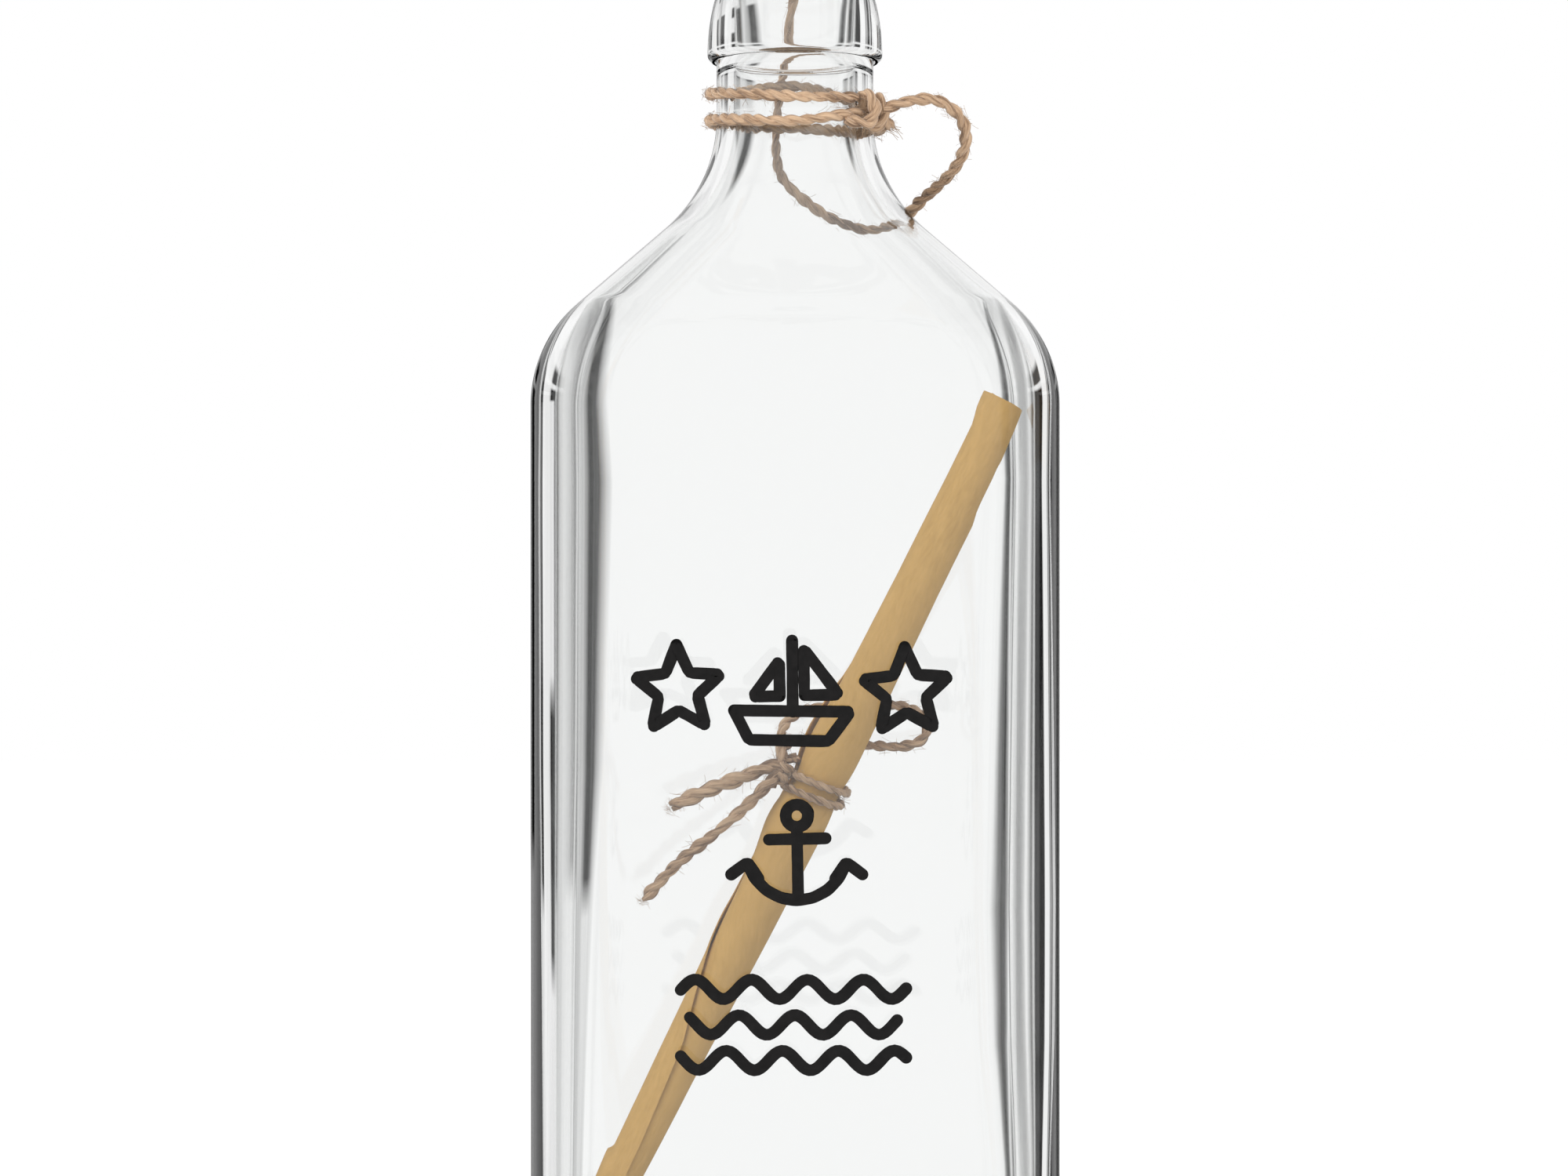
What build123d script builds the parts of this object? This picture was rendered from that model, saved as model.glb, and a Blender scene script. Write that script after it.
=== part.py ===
from build123d import *
import os
from math import asin, atan2, cos, hypot, pi, radians, sin, sqrt, tan

# A corked glass flask that holds a rolled paper message, with jute twine round its neck.
# Millimetres and degrees. The origin is the middle of the base, Z runs up the bottle, and
# the front panel faces -Y.

# Bottle outside
body_width = 80.2
body_depth = 50.0
corner_radius = 14.2
side_bow = 4.0  # how far each flat side turns from its middle to its end, in degrees
heel_radius = 5.0
shoulder_level = 139.6  # where the straight body ends
shoulder_radius = 20.5
shoulder_angle = 48.4  # steepest turn of the shoulder away from upright, in degrees
flare_radius = 23.6
neck_diameter = 24.0

# Ringed mouth
collar_level = 192.5  # underside of the ring
collar_diameter = 26.8
collar_edge = 1.1
ring_height = 9.3
ring_top_diameter = 24.7
lip_height = 8.7
lip_diameter = 23.4
lip_rounding = 1.1
mouth_rounding = 0.5

# Bottle inside
bore_diameter = 18.5
side_wall = 3.8
panel_wall = 4.3
base_wall = 7.0
cavity_corner_radius = 11.0  # the glass is thickest in the corners
floor_rounding = 3.0
rest_width = 4.5  # flat ring that the bottle stands on
punt_depth = 1.3
punt_slope = 5.0
punt_corner = 4.0

# Cork stopper
cork_height = 16.0
cork_seat_depth = 7.0
cork_taper = 4.0  # degrees on each side
cork_edge = 0.6
cork_clearance = 0.05

# Rolled message
sheet_length = 148.0
sheet_thickness = 0.16
roll_turns = 6
foot_inset = 5.9  # from the left wall to the roll's lowest point
roll_clearance = 0.3  # from the roll to the glass that it stands on and leans on
roll_depth_shift = 5.0  # how much nearer the front its upper end is
# Distance from the roll's foot and radius there: the sheet is wound tightest at its foot,
# and loosest where the twine holds it
roll_profile = (
    (0, 3.0),
    (16.0, 3.2),
    (58.0, 4.05),
    (76.0, 4.35),
    (88.0, 4.35),
    (101.0, 4.0),
    (116.0, 3.7),
    (sheet_length, 3.7),
)
turn_pitch_share = 0.092  # one turn of the sheet with its air, in roll radii

# Twine
twine_diameter = 1.7
twine_clearance = 0.15
knot_bend = 1.3
knot_leg = 3.0
knot_tilt = 24.0  # degrees that each half of a knot leans across the other
arc_share = 0.45  # part of the shorter run that a bend takes
overrun = 3.0

# Neck turns: from the knot round the neck twice, with a level for each point as a share
# of wrap_drop below the ring
knot_azimuth = -38.0
knot_half_azimuth = 8.0
knot_level = 184.0
quarter_turn = 90.0
half_turn = 180.0
wrap_drop = 10.9
wrap_start_share = 0.606
wrap_level_shares = (0.642, 0.45, 0.147, 0.633, 0.991, 0.817, 0.798, 0.936)
wrap_end_share = 1.0
gap_samples = 400

# Tie round the roll
tie_height = 82.0  # along the roll, from its foot
tie_turns = 2
tie_pitch = 2.4
tie_azimuth = -75.0  # knot's place round the roll, from its front

# Shapes that follow from the sizes above
neck_radius = neck_diameter / 2
bore_radius = bore_diameter / 2
neck_wall = neck_radius - bore_radius
punt_edge = heel_radius + rest_width
twine_radius = twine_diameter / 2
tied_radius = max(radius for _, radius in roll_profile)
foot_radius, top_radius = roll_profile[0][1], roll_profile[-1][1]
mouth_level = collar_level + ring_height + lip_height
shoulder_turn = radians(shoulder_angle)
shoulder_edge = body_width / 2 - shoulder_radius * (1 - cos(shoulder_turn))
flare_edge = neck_radius + flare_radius * (1 - cos(shoulder_turn))
slope_rise = (shoulder_edge - flare_edge) / tan(shoulder_turn)
flare_level = (
    shoulder_level + (shoulder_radius + flare_radius) * sin(shoulder_turn) + slope_rise
)
bend_shares = (0, 1 / 3, 2 / 3, 1)
lead_in_share = 0.1  # of a bend's radius, straight before and after it

os.makedirs("parts", exist_ok=True)


def shoulder_stations():
    """Levels and half widths of the front outline, from the straight body to the neck."""
    stations = [(shoulder_level - lead_in_share * shoulder_radius, body_width / 2)]
    for share in bend_shares:
        turn = shoulder_turn * share
        level = shoulder_level + shoulder_radius * sin(turn)
        stations.append((level, body_width / 2 - shoulder_radius * (1 - cos(turn))))
    for share in reversed(bend_shares):
        turn = shoulder_turn * share
        level = flare_level - flare_radius * sin(turn)
        stations.append((level, neck_radius + flare_radius * (1 - cos(turn))))
    stations.append((flare_level + lead_in_share * flare_radius, neck_radius))
    return stations


def neck_radius_at(level):
    """Radius of the neck at a level on it or on the flare below it."""
    drop = max(flare_level - level, 0)
    return neck_radius + flare_radius * (1 - cos(asin(drop / flare_radius)))


def bowed_outline(level, half_width, half_depth, corner):
    """One level of the flask: four bowed sides that run into four corner arcs."""
    bow = radians(side_bow)
    sine, fall = sin(bow), 1 - cos(bow)
    across = half_width + corner * (sine - cos(bow))
    along = half_depth + corner * (sine - cos(bow))
    panel = (across * sine - along * fall) / (sine**2 - fall**2)
    flank = (along - panel * fall) / sine
    corner_x, corner_y = (panel - corner) * sine, (flank - corner) * sine
    corner_turn = quarter_turn - 2 * side_bow
    with BuildSketch(Plane.XY.offset(level)) as outline:
        with BuildLine():
            for facing in (1, -1):
                start = -side_bow if facing > 0 else half_turn - side_bow
                side_centre = (facing * (half_width - flank), 0)
                CenterArc(side_centre, flank, start, 2 * side_bow)
                start += 2 * side_bow
                near = (facing * corner_x, facing * corner_y)
                CenterArc(near, corner, start, corner_turn)
                start += corner_turn
                panel_centre = (0, facing * (half_depth - panel))
                CenterArc(panel_centre, panel, start, 2 * side_bow)
                start += 2 * side_bow
                far = (-facing * corner_x, facing * corner_y)
                CenterArc(far, corner, start, corner_turn)
        make_face()
    return outline.sketch


def outer_level(level, half_width):
    """Outside of the glass at one level of the shoulder."""
    share = (half_width - neck_radius) / (body_width / 2 - neck_radius)
    half_depth = neck_radius + (body_depth / 2 - neck_radius) * share
    corner = neck_radius + (corner_radius - neck_radius) * share
    return bowed_outline(level, half_width, half_depth, corner)


def inner_level(level, half_width):
    """Inside of the glass at one level of the shoulder."""
    share = (half_width - neck_radius) / (body_width / 2 - neck_radius)
    half_depth = neck_radius + (body_depth / 2 - neck_radius) * share
    side = neck_wall + (side_wall - neck_wall) * share
    panel = neck_wall + (panel_wall - neck_wall) * share
    corner = bore_radius + (cavity_corner_radius - bore_radius) * share
    return bowed_outline(level, half_width - side, half_depth - panel, corner)


body_end, neck_foot = shoulder_stations()[0][0], shoulder_stations()[-1][0]

# Hollow of the bottle, from its floor to past its mouth
with BuildPart() as hollow:
    extrude(inner_level(base_wall, body_width / 2), amount=body_end - base_wall)
    fillet(hollow.faces().sort_by(Axis.Z)[0].edges(), floor_rounding)
    loft([inner_level(*station) for station in shoulder_stations()])
    with BuildSketch(Plane.XY.offset(neck_foot)):
        Circle(bore_radius)
    extrude(amount=mouth_level + overrun - neck_foot)

# Glass bottle
with BuildPart() as bottle:
    extrude(outer_level(0, body_width / 2), amount=body_end)
    fillet(bottle.faces().sort_by(Axis.Z)[0].edges(), heel_radius)
    loft([outer_level(*station) for station in shoulder_stations()])
    with BuildSketch(Plane.XZ) as neck_section:
        with BuildLine():
            foot = (neck_radius, neck_foot)
            rim = (collar_diameter / 2 - collar_edge, collar_level)
            side = (collar_diameter / 2, collar_level + collar_edge)
            ring_top = (ring_top_diameter / 2, collar_level + ring_height)
            lip_side = (lip_diameter / 2, collar_level + ring_height + lip_height / 2)
            lip_end = (lip_diameter / 2, mouth_level - lip_rounding)
            lip_top = (lip_diameter / 2 - lip_rounding, mouth_level)
            Polyline((0, collar_level), (0, foot[1]), foot, (neck_radius, collar_level), rim)
            TangentArc(rim, side, tangent=(1, 0))
            ring = TangentArc(side, ring_top, tangent=(0, 1))
            TangentArc(lip_side, ring_top, tangent=(0, -1))
            Line(lip_side, lip_end)
            TangentArc(lip_end, lip_top, tangent=(0, 1))
            Polyline(lip_top, (0, mouth_level), (0, collar_level))
        make_face()
    revolve(axis=Axis.Z)
    add(hollow.part, mode=Mode.SUBTRACT)
    mouth_edges = bottle.edges().filter_by(GeomType.CIRCLE).group_by(Axis.Z)[-1]
    fillet(mouth_edges.sort_by(SortBy.RADIUS)[0], mouth_rounding)
    punt_levels = []
    for level, edge in ((0, punt_edge), (punt_depth, punt_edge + punt_slope)):
        half_width, half_depth = body_width / 2 - edge, body_depth / 2 - edge
        punt_levels.append(bowed_outline(level, half_width, half_depth, punt_corner))
    loft(punt_levels, ruled=True, mode=Mode.SUBTRACT)

bottle.part.label = "bottle"
export_step(bottle.part, "parts/bottle.step")

# Cork stopper, tapered, jammed in the mouth's edge
cork_bottom = mouth_level - cork_seat_depth
cork_top = cork_bottom + cork_height
cork_slope = tan(radians(cork_taper))
cork_seat_radius = bore_radius - cork_clearance
cork_bottom_radius = cork_seat_radius - (cork_seat_depth - mouth_rounding) * cork_slope
cork_top_radius = cork_bottom_radius + cork_height * cork_slope
with BuildPart() as cork_stopper:
    with BuildSketch(Plane.XZ):
        Polygon(
            (0, cork_bottom),
            (cork_bottom_radius, cork_bottom),
            (cork_top_radius, cork_top),
            (0, cork_top),
            align=None,
        )
    revolve(axis=Axis.Z)
    fillet(cork_stopper.edges().filter_by(GeomType.CIRCLE), cork_edge)

cork_stopper.part.label = "cork_stopper"
export_step(cork_stopper.part, "parts/cork_stopper.step")

# The roll stands on the floor at the left and leans on the right wall
cavity_half_width = body_width / 2 - side_wall
reach_across = 2 * cavity_half_width - foot_inset - roll_clearance
flare = top_radius - foot_radius
lean_sine = sin(asin(reach_across / hypot(sheet_length, flare)) - atan2(flare, sheet_length))
depth_sine = roll_depth_shift / sheet_length
rise_sine = sqrt(1 - lean_sine**2 - depth_sine**2)
rim_across, rim_down = sqrt(1 - lean_sine**2), sqrt(1 - rise_sine**2)
roll_axis = Vector(lean_sine, -depth_sine, rise_sine)
roll_foot = Vector(
    foot_inset - cavity_half_width - foot_radius * rim_across,
    roll_depth_shift / 2,
    base_wall + roll_clearance + foot_radius * rim_down,
)
# Local axes of the roll: x to the front, y to the right and z along the roll
roll_plane = Plane(origin=roll_foot, x_dir=(0, -1, 0), z_dir=roll_axis)


def sheet_section(height, radius):
    """The rolled sheet cut across at one height, its outer edge at the front."""
    pitch = turn_pitch_share * radius
    with BuildSketch(roll_plane.offset(height)) as section:
        with BuildLine():
            for half in range(2 * roll_turns):
                outside = radius - half * pitch / 2
                centre = (-pitch / 2 * (half % 2), 0)
                CenterArc(centre, outside, half_turn * (half % 2), -half_turn)
                inside = outside - sheet_thickness
                CenterArc(centre, inside, half_turn * (half % 2), -half_turn)
            Line((radius, 0), (radius - sheet_thickness, 0))
            Line((outside + centre[0], 0), (inside + centre[0], 0))
        make_face()
    return section.sketch


with BuildPart() as message_roll:
    loft([sheet_section(*station) for station in roll_profile], ruled=True)

message_roll.part.label = "message_roll"
export_step(message_roll.part, "parts/message_roll.step")


def biarc_route(points, tangents):
    """Two tangent arcs between each two points, which leave and arrive as told."""
    with BuildLine() as route:
        steps = zip(points, tangents, points[1:], tangents[1:])
        for start, leaving, end, arriving in steps:
            chord, both = end - start, leaving + arriving
            bend = 2 * (1 - leaving.dot(arriving))
            along = chord.dot(both)
            reach = (sqrt(along**2 + bend * chord.dot(chord)) - along) / bend
            middle = (start + end + (leaving - arriving) * reach) / 2
            first = TangentArc(start, middle, tangent=leaving)
            TangentArc(middle, end, tangent=first % 1)
    return route.wire()


def least_self_gap(route, turn_length):
    """Least gap of a wound tube to itself, on points along its route."""
    count = gap_samples
    places = [route @ (i / count) for i in range(count + 1)]
    apart = int(count * turn_length / route.length / 2)
    gaps = [
        (places[i] - places[j]).length
        for i in range(len(places))
        for j in range(i + apart, len(places))
    ]
    return min(gaps) - twine_diameter


def cord_route(points):
    """Straight runs joined by arcs, each as large as its two runs allow."""
    corners = [Vector(*point) for point in points]
    radii = []
    for before, corner, after in zip(corners, corners[1:], corners[2:]):
        turn = (corner - before).get_angle(after - corner)
        shorter = min((corner - before).length, (after - corner).length)
        radii.append(arc_share * shorter / tan(radians(turn / 2)))
    with BuildLine() as route:
        FilletPolyline(*corners, radius=radii)
    print("bend radii", [round(radius, 1) for radius in radii])
    return route.wire()


def make_twine(name, route):
    """One length of twine along a route."""
    with BuildPart() as length:
        with BuildSketch(Plane(origin=route @ 0, z_dir=route % 0)):
            Circle(twine_radius)
        sweep(path=route)
    expected = pi * twine_radius**2 * route.length
    print(name, "length", round(route.length, 1), "volume share", length.part.volume / expected)
    length.part.label = name
    export_step(length.part, f"parts/{name}.step")
    return length


def bight_route(plane, facing):
    """Middle line of one half of a knot: a bend with two legs, leaning across the other half."""
    with BuildLine(plane.rotated((facing * knot_tilt, 0, 0))) as route:
        bend_start = facing * knot_bend / 2
        Line((-facing * knot_leg, knot_bend), (bend_start, knot_bend))
        bend_top = (bend_start + facing * knot_bend, 0)
        ThreePointArc((bend_start, knot_bend), bend_top, (bend_start, -knot_bend))
        Line((bend_start, -knot_bend), (-facing * knot_leg, -knot_bend))
    return route.wire()


def make_knot(name, plane):
    """Two bights of twine hooked through each other, along the plane's x axis."""
    with BuildPart() as knot:
        for facing in (1, -1):
            route = bight_route(plane, facing)
            with BuildSketch(Plane(origin=route @ 0, z_dir=route % 0)):
                Circle(twine_radius)
            sweep(path=route)
    knot.part.label = name
    export_step(knot.part, f"parts/{name}.step")
    return knot


# Twine round the neck: two turns from the knot back to the knot
azimuths = [knot_azimuth - knot_half_azimuth]
azimuths += [-quarter_turn * step for step in range(1, len(wrap_level_shares) + 1)]
azimuths += [knot_azimuth + knot_half_azimuth - 2 * (quarter_turn + quarter_turn + half_turn)]
shares = (wrap_start_share, *wrap_level_shares, wrap_end_share)
levels = [collar_level - wrap_drop * share for share in shares]
wrap_points, wrap_tangents = [], []
for azimuth, level in zip(azimuths, levels):
    reach = neck_radius_at(level) + twine_clearance + twine_radius
    turn = radians(azimuth)
    wrap_points.append(Vector(reach * cos(turn), reach * sin(turn), level))
for index, azimuth in enumerate(azimuths):
    before, after = max(index - 1, 0), min(index + 1, len(azimuths) - 1)
    swept = radians(azimuths[before] - azimuths[after])
    climb = (levels[after] - levels[before]) / (neck_radius * swept)
    turn = radians(azimuth)
    wrap_tangents.append(Vector(sin(turn), -cos(turn), climb).normalized())
neck_wrap = biarc_route(wrap_points, wrap_tangents)
make_twine("neck_twine_turns", neck_wrap)
print("neck turns least gap", least_self_gap(neck_wrap, 2 * pi * neck_radius))

knot_turn = radians(knot_azimuth)
knot_reach = neck_radius + twine_clearance + twine_diameter + twine_radius / 2
knot_centre = Vector(knot_reach * cos(knot_turn), knot_reach * sin(knot_turn), knot_level)
knot_plane = Plane(
    origin=knot_centre,
    x_dir=(-sin(knot_turn), cos(knot_turn), 0),
    z_dir=(cos(knot_turn), sin(knot_turn), 0),
)
make_knot("neck_twine_knot", knot_plane)

# Loose end of the neck twine: out to the right, down behind the shoulder and up behind the neck
neck_end_points = (
    (13.2, -8.4, 184.2),
    (17.6, -8.0, 186.0),
    (22.4, -6.8, 185.9),
    (26.0, -4.4, 182.8),
    (26.0, -1.0, 178.4),
    (23.2, 3.2, 174.9),
    (19.4, 8.2, 172.2),
    (16.4, 13.2, 169.0),
    (12.0, 16.8, 167.2),
    (6.6, 17.4, 168.6),
    (1.4, 16.2, 172.2),
    (-2.6, 15.4, 176.2),
    (-4.0, 15.2, 182.0),
    (-3.2, 15.3, 188.8),
    (-1.9, 15.2, 195.4),
    (-0.6, 14.9, 201.2),
    (2.6, 14.4, 204.4),
    (6.8, 13.8, 204.6),
)
neck_end = cord_route(neck_end_points)
make_twine("neck_twine_end", neck_end)

# Twine round the roll, in the roll's own axes
tie_reach = tied_radius + twine_clearance + twine_radius
tie_points, tie_tangents = [], []
for step in range(4 * tie_turns + 1):
    turn = radians(tie_azimuth + quarter_turn * step)
    level = tie_height + tie_pitch * (step / 4 - tie_turns / 2)
    place = Vector(tie_reach * cos(turn), tie_reach * sin(turn), level)
    heading = Vector(-sin(turn), cos(turn), tie_pitch / (2 * pi * tie_reach)).normalized()
    tie_points.append(roll_plane.from_local_coords(place))
    tie_tangents.append(roll_plane.from_local_coords(heading) - roll_plane.origin)
roll_tie = biarc_route(tie_points, tie_tangents)
make_twine("roll_tie_turns", roll_tie)
print("roll tie least gap", least_self_gap(roll_tie, 2 * pi * tie_reach))

tie_turn = radians(tie_azimuth)
tie_knot_reach = tied_radius + twine_clearance + twine_diameter + twine_radius / 2
tie_outward = Vector(cos(tie_turn), sin(tie_turn), 0)
tie_knot_place = tie_outward * tie_knot_reach + Vector(0, 0, tie_height)
tie_knot_plane = Plane(
    origin=roll_plane.from_local_coords(tie_knot_place),
    x_dir=roll_axis,
    z_dir=roll_plane.from_local_coords(tie_outward) - roll_plane.origin,
)
make_knot("roll_tie_knot", tie_knot_plane)

# The bow loop and the two loose ends of that twine: to the front, to the right and above
# the tie, in the roll's own axes
bow_points = (
    (0.2, -7.3, 1.9),
    (-3.3, -6.6, 4.3),
    (-5.8, -2.6, 6.0),
    (-5.7, 1.9, 7.6),
    (-3.6, 5.9, 9.3),
    (-1.6, 9.5, 11.0),
    (-0.8, 11.9, 13.8),
    (-2.0, 10.4, 16.8),
    (-4.2, 6.6, 16.6),
    (-5.9, 2.5, 14.6),
    (-6.2, -2.0, 12.2),
    (-5.0, -6.2, 9.6),
    (-1.6, -8.8, 6.6),
    (1.8, -8.0, 3.2),
)
short_end_points = ((1.2, -7.4, -0.2), (2.2, -10.6, -3.6), (2.6, -14.6, -7.8), (1.8, -18.4, -12.6))
long_end_points = (
    (2.6, -6.6, -2.2),
    (3.4, -8.2, -7.4),
    (3.2, -11.0, -14.0),
    (2.2, -14.2, -20.6),
    (1.0, -15.8, -27.4),
)
tie_plane = roll_plane.offset(tie_height)
for name, points in (
    ("roll_tie_bow", bow_points),
    ("roll_tie_short_end", short_end_points),
    ("roll_tie_long_end", long_end_points),
):
    make_twine(name, cord_route([tie_plane.from_local_coords(point) for point in points]))

swing_pivot = roll_foot + foot_radius * Vector(rim_across, 0, rim_down)
print("roll swings about", swing_pivot)
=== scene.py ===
import logging
import math
from dataclasses import dataclass
from enum import Enum
from functools import cache

import bpy
import numpy as np
from bpy.types import (ID, Material, Mesh, Node, NodeSocket, NodeTree, Object,
                       bpy_prop_collection)
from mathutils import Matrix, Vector, noise


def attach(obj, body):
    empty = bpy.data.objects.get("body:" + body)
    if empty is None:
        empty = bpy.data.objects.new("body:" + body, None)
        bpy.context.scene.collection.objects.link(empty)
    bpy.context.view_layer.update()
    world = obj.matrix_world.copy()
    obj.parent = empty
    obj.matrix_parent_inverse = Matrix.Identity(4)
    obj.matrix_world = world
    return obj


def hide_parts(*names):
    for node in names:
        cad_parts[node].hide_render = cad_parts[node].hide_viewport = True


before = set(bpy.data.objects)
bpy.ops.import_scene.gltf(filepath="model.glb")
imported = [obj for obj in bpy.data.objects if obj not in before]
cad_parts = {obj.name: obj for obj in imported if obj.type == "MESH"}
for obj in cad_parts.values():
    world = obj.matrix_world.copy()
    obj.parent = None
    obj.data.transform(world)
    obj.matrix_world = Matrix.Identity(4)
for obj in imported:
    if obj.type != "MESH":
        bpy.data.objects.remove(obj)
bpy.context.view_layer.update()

MM = 0.001
FULL_TURN = 2 * math.pi
QUARTER_TURN = math.pi / 2
ROUNDING_SLACK = 1.0001
LOG = logging.getLogger("message_bottle")

# What a node's input takes: a socket to link, a number, or a vector or colour.
Value = NodeSocket | float | tuple


class Body(Enum):
    """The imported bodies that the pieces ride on."""

    BOTTLE = "bottle"
    CORK = "cork"
    MESSAGE = "message"


class Slot(Enum):
    """The record's material slots."""

    GLASS = "clear_glass"
    CORK = "cork"
    PAPER = "kraft_paper"
    TWINE = "jute_twine"
    INK = "black_ink"


class Socket(Enum):
    """Socket types of the node groups that this script makes."""

    FLOAT = "NodeSocketFloat"
    INTEGER = "NodeSocketInt"
    VECTOR = "NodeSocketVector"
    GEOMETRY = "NodeSocketGeometry"
    MATERIAL = "NodeSocketMaterial"


class Graph:
    """A node tree with short ways to add nodes and links."""

    def __init__(self, tree: NodeTree) -> None:
        """Empties the tree and keeps it."""
        self.tree = tree
        tree.nodes.clear()

    def add(self, kind: str, inputs: dict | None = None, **settings) -> Node:
        """Adds one node.

        Args:
            kind: the node's type name.
            inputs: socket name or number to a value, an output socket to link, or a list of these.
            settings: the node's own properties.

        Returns:
            The new node.
        """
        node = self.tree.nodes.new(kind)
        for name, value in settings.items():
            setattr(node, name, value)
        for name, value in (inputs or {}).items():
            for source in value if isinstance(value, list) else [value]:
                if isinstance(source, NodeSocket):
                    self.tree.links.new(source, node.inputs[name])
                else:
                    node.inputs[name].default_value = source
        return node

    def out(self, kind: str, inputs: dict | None = None, **settings) -> NodeSocket:
        """Adds one node, as add does, and returns its first output."""
        return self.add(kind, inputs, **settings).outputs[0]

    def math(self, operation: str, *values: Value) -> NodeSocket:
        """Adds a Math node and returns its output."""
        return self.out("ShaderNodeMath", dict(enumerate(values)), operation=operation)

    def vector_math(self, operation: str, *values: Value) -> NodeSocket:
        """Adds a Vector Math node and returns its vector output."""
        return self.out("ShaderNodeVectorMath", dict(enumerate(values)), operation=operation)

    def scaled(self, vector: NodeSocket, scale: Value) -> NodeSocket:
        """Multiplies a vector by a number or by a number's socket."""
        return self.out("ShaderNodeVectorMath", {0: vector, "Scale": scale}, operation="SCALE")

    def joined(self, x: Value, y: Value, z: Value) -> NodeSocket:
        """Makes a vector of three numbers or sockets."""
        return self.out("ShaderNodeCombineXYZ", {0: x, 1: y, 2: z})

    def noise(self, vector: Value, scale: Value, detail: float, roughness: float = 0.5) -> NodeSocket:
        """Adds a Noise Texture and returns its grey value."""
        return self.out("ShaderNodeTexNoise", {"Vector": vector, "Scale": scale, "Detail": detail,
                                               "Roughness": roughness})

    def bump(self, height: NodeSocket, strength: float, depth: float) -> NodeSocket:
        """Adds a Bump node for a height and returns its normal; the depth is in millimetres."""
        return self.out("ShaderNodeBump", {"Height": height, "Strength": strength, "Distance": depth * MM})

    def mix(self, share: Value, first: Value, second: Value) -> NodeSocket:
        """Mixes two colours.

        Args:
            share: how much of the second, a number or a socket.
            first: a colour of three numbers, or a socket.
            second: a colour of three numbers, or a socket.

        Returns:
            The mixed colour's socket.
        """
        first, second = (c if isinstance(c, NodeSocket) else (*c, 1) for c in (first, second))
        return self.add("ShaderNodeMix", {0: share, 6: first, 7: second}, data_type="RGBA").outputs[2]

    def ramp(self, factor: NodeSocket, stops: tuple) -> NodeSocket:
        """Adds a colour ramp.

        Args:
            factor: the socket that drives it.
            stops: pairs of position and grey value or colour.

        Returns:
            Its colour output.
        """
        node = self.add("ShaderNodeValToRGB", {0: factor})
        elements = node.color_ramp.elements
        while len(elements) < len(stops):
            elements.new(1.0)
        for element, (position, colour) in zip(elements, stops):
            element.position = position
            element.color = (*colour, 1) if isinstance(colour, tuple) else (colour, colour, colour, 1)
        return node.outputs[0]

    def fibres(self, place: NodeSocket, fineness: float, stretch: tuple,
               contrast: float) -> bpy_prop_collection:
        """Places the fibre group and returns its outputs by name."""
        return self.add("ShaderNodeGroup", {"Vector": place, "Fineness": fineness, "Stretch": stretch,
                                            "Contrast": contrast}, node_tree=fibre_group()).outputs


def group_with_sockets(kind: str, name: str, inputs: dict, outputs: dict) -> tuple[Graph, dict]:
    """Makes a node group with named sockets.

    Args:
        kind: the tree's type name.
        name: the group's name.
        inputs: socket name to its type.
        outputs: socket name to its type.

    Returns:
        The graph, and the group input's sockets by name.
    """
    graph = Graph(bpy.data.node_groups.new(name, kind))
    for direction, sockets in (("INPUT", inputs), ("OUTPUT", outputs)):
        for label, socket in sockets.items():
            graph.tree.interface.new_socket(label, in_out=direction, socket_type=socket.value)
    entry = graph.add("NodeGroupInput")
    return graph, {label: entry.outputs[label] for label in inputs}


@cache
def fibre_group() -> NodeTree:
    """Fine fibres that run along one direction, for paper, twine and cork.

    Returns:
        The shader group, made once: its Mask and Height vary from 0 to 1.
    """
    inputs = {"Vector": Socket.VECTOR, "Fineness": Socket.FLOAT, "Stretch": Socket.VECTOR,
              "Contrast": Socket.FLOAT}
    outputs = {"Mask": Socket.FLOAT, "Height": Socket.FLOAT}
    graph, entry = group_with_sockets("ShaderNodeTree", "fine_fibres", inputs, outputs)
    stretched = graph.vector_math("MULTIPLY", entry["Vector"], entry["Stretch"])
    coarse = graph.noise(stretched, entry["Fineness"], 4.0, 0.65)
    fine = graph.noise(stretched, graph.math("MULTIPLY", entry["Fineness"], 3.1), 3.0, 0.7)
    both = graph.math("SUBTRACT", graph.math("ADD", coarse, fine), 1.0)
    mask = graph.math("ADD", graph.math("MULTIPLY", both, entry["Contrast"]), 0.5)
    graph.add("NodeGroupOutput", {"Mask": graph.out("ShaderNodeClamp", {"Value": mask}), "Height": fine})
    return graph.tree


@dataclass(frozen=True)
class Finish:
    """A material; each kind says what its surface is."""

    name: str = "finish"

    def surface(self, graph: Graph) -> dict:
        """Inputs of the Principled shader, which the kinds give."""
        raise NotImplementedError

    def shader(self, graph: Graph) -> NodeSocket:
        """The shader that the material puts out."""
        return graph.out("ShaderNodeBsdfPrincipled", self.surface(graph))

    def build(self) -> Material:
        """Makes the material."""
        material = bpy.data.materials.new(self.name)
        material.use_nodes = True
        graph = Graph(material.node_tree)
        graph.add("ShaderNodeOutputMaterial", {"Surface": self.shader(graph)})
        return material


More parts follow.
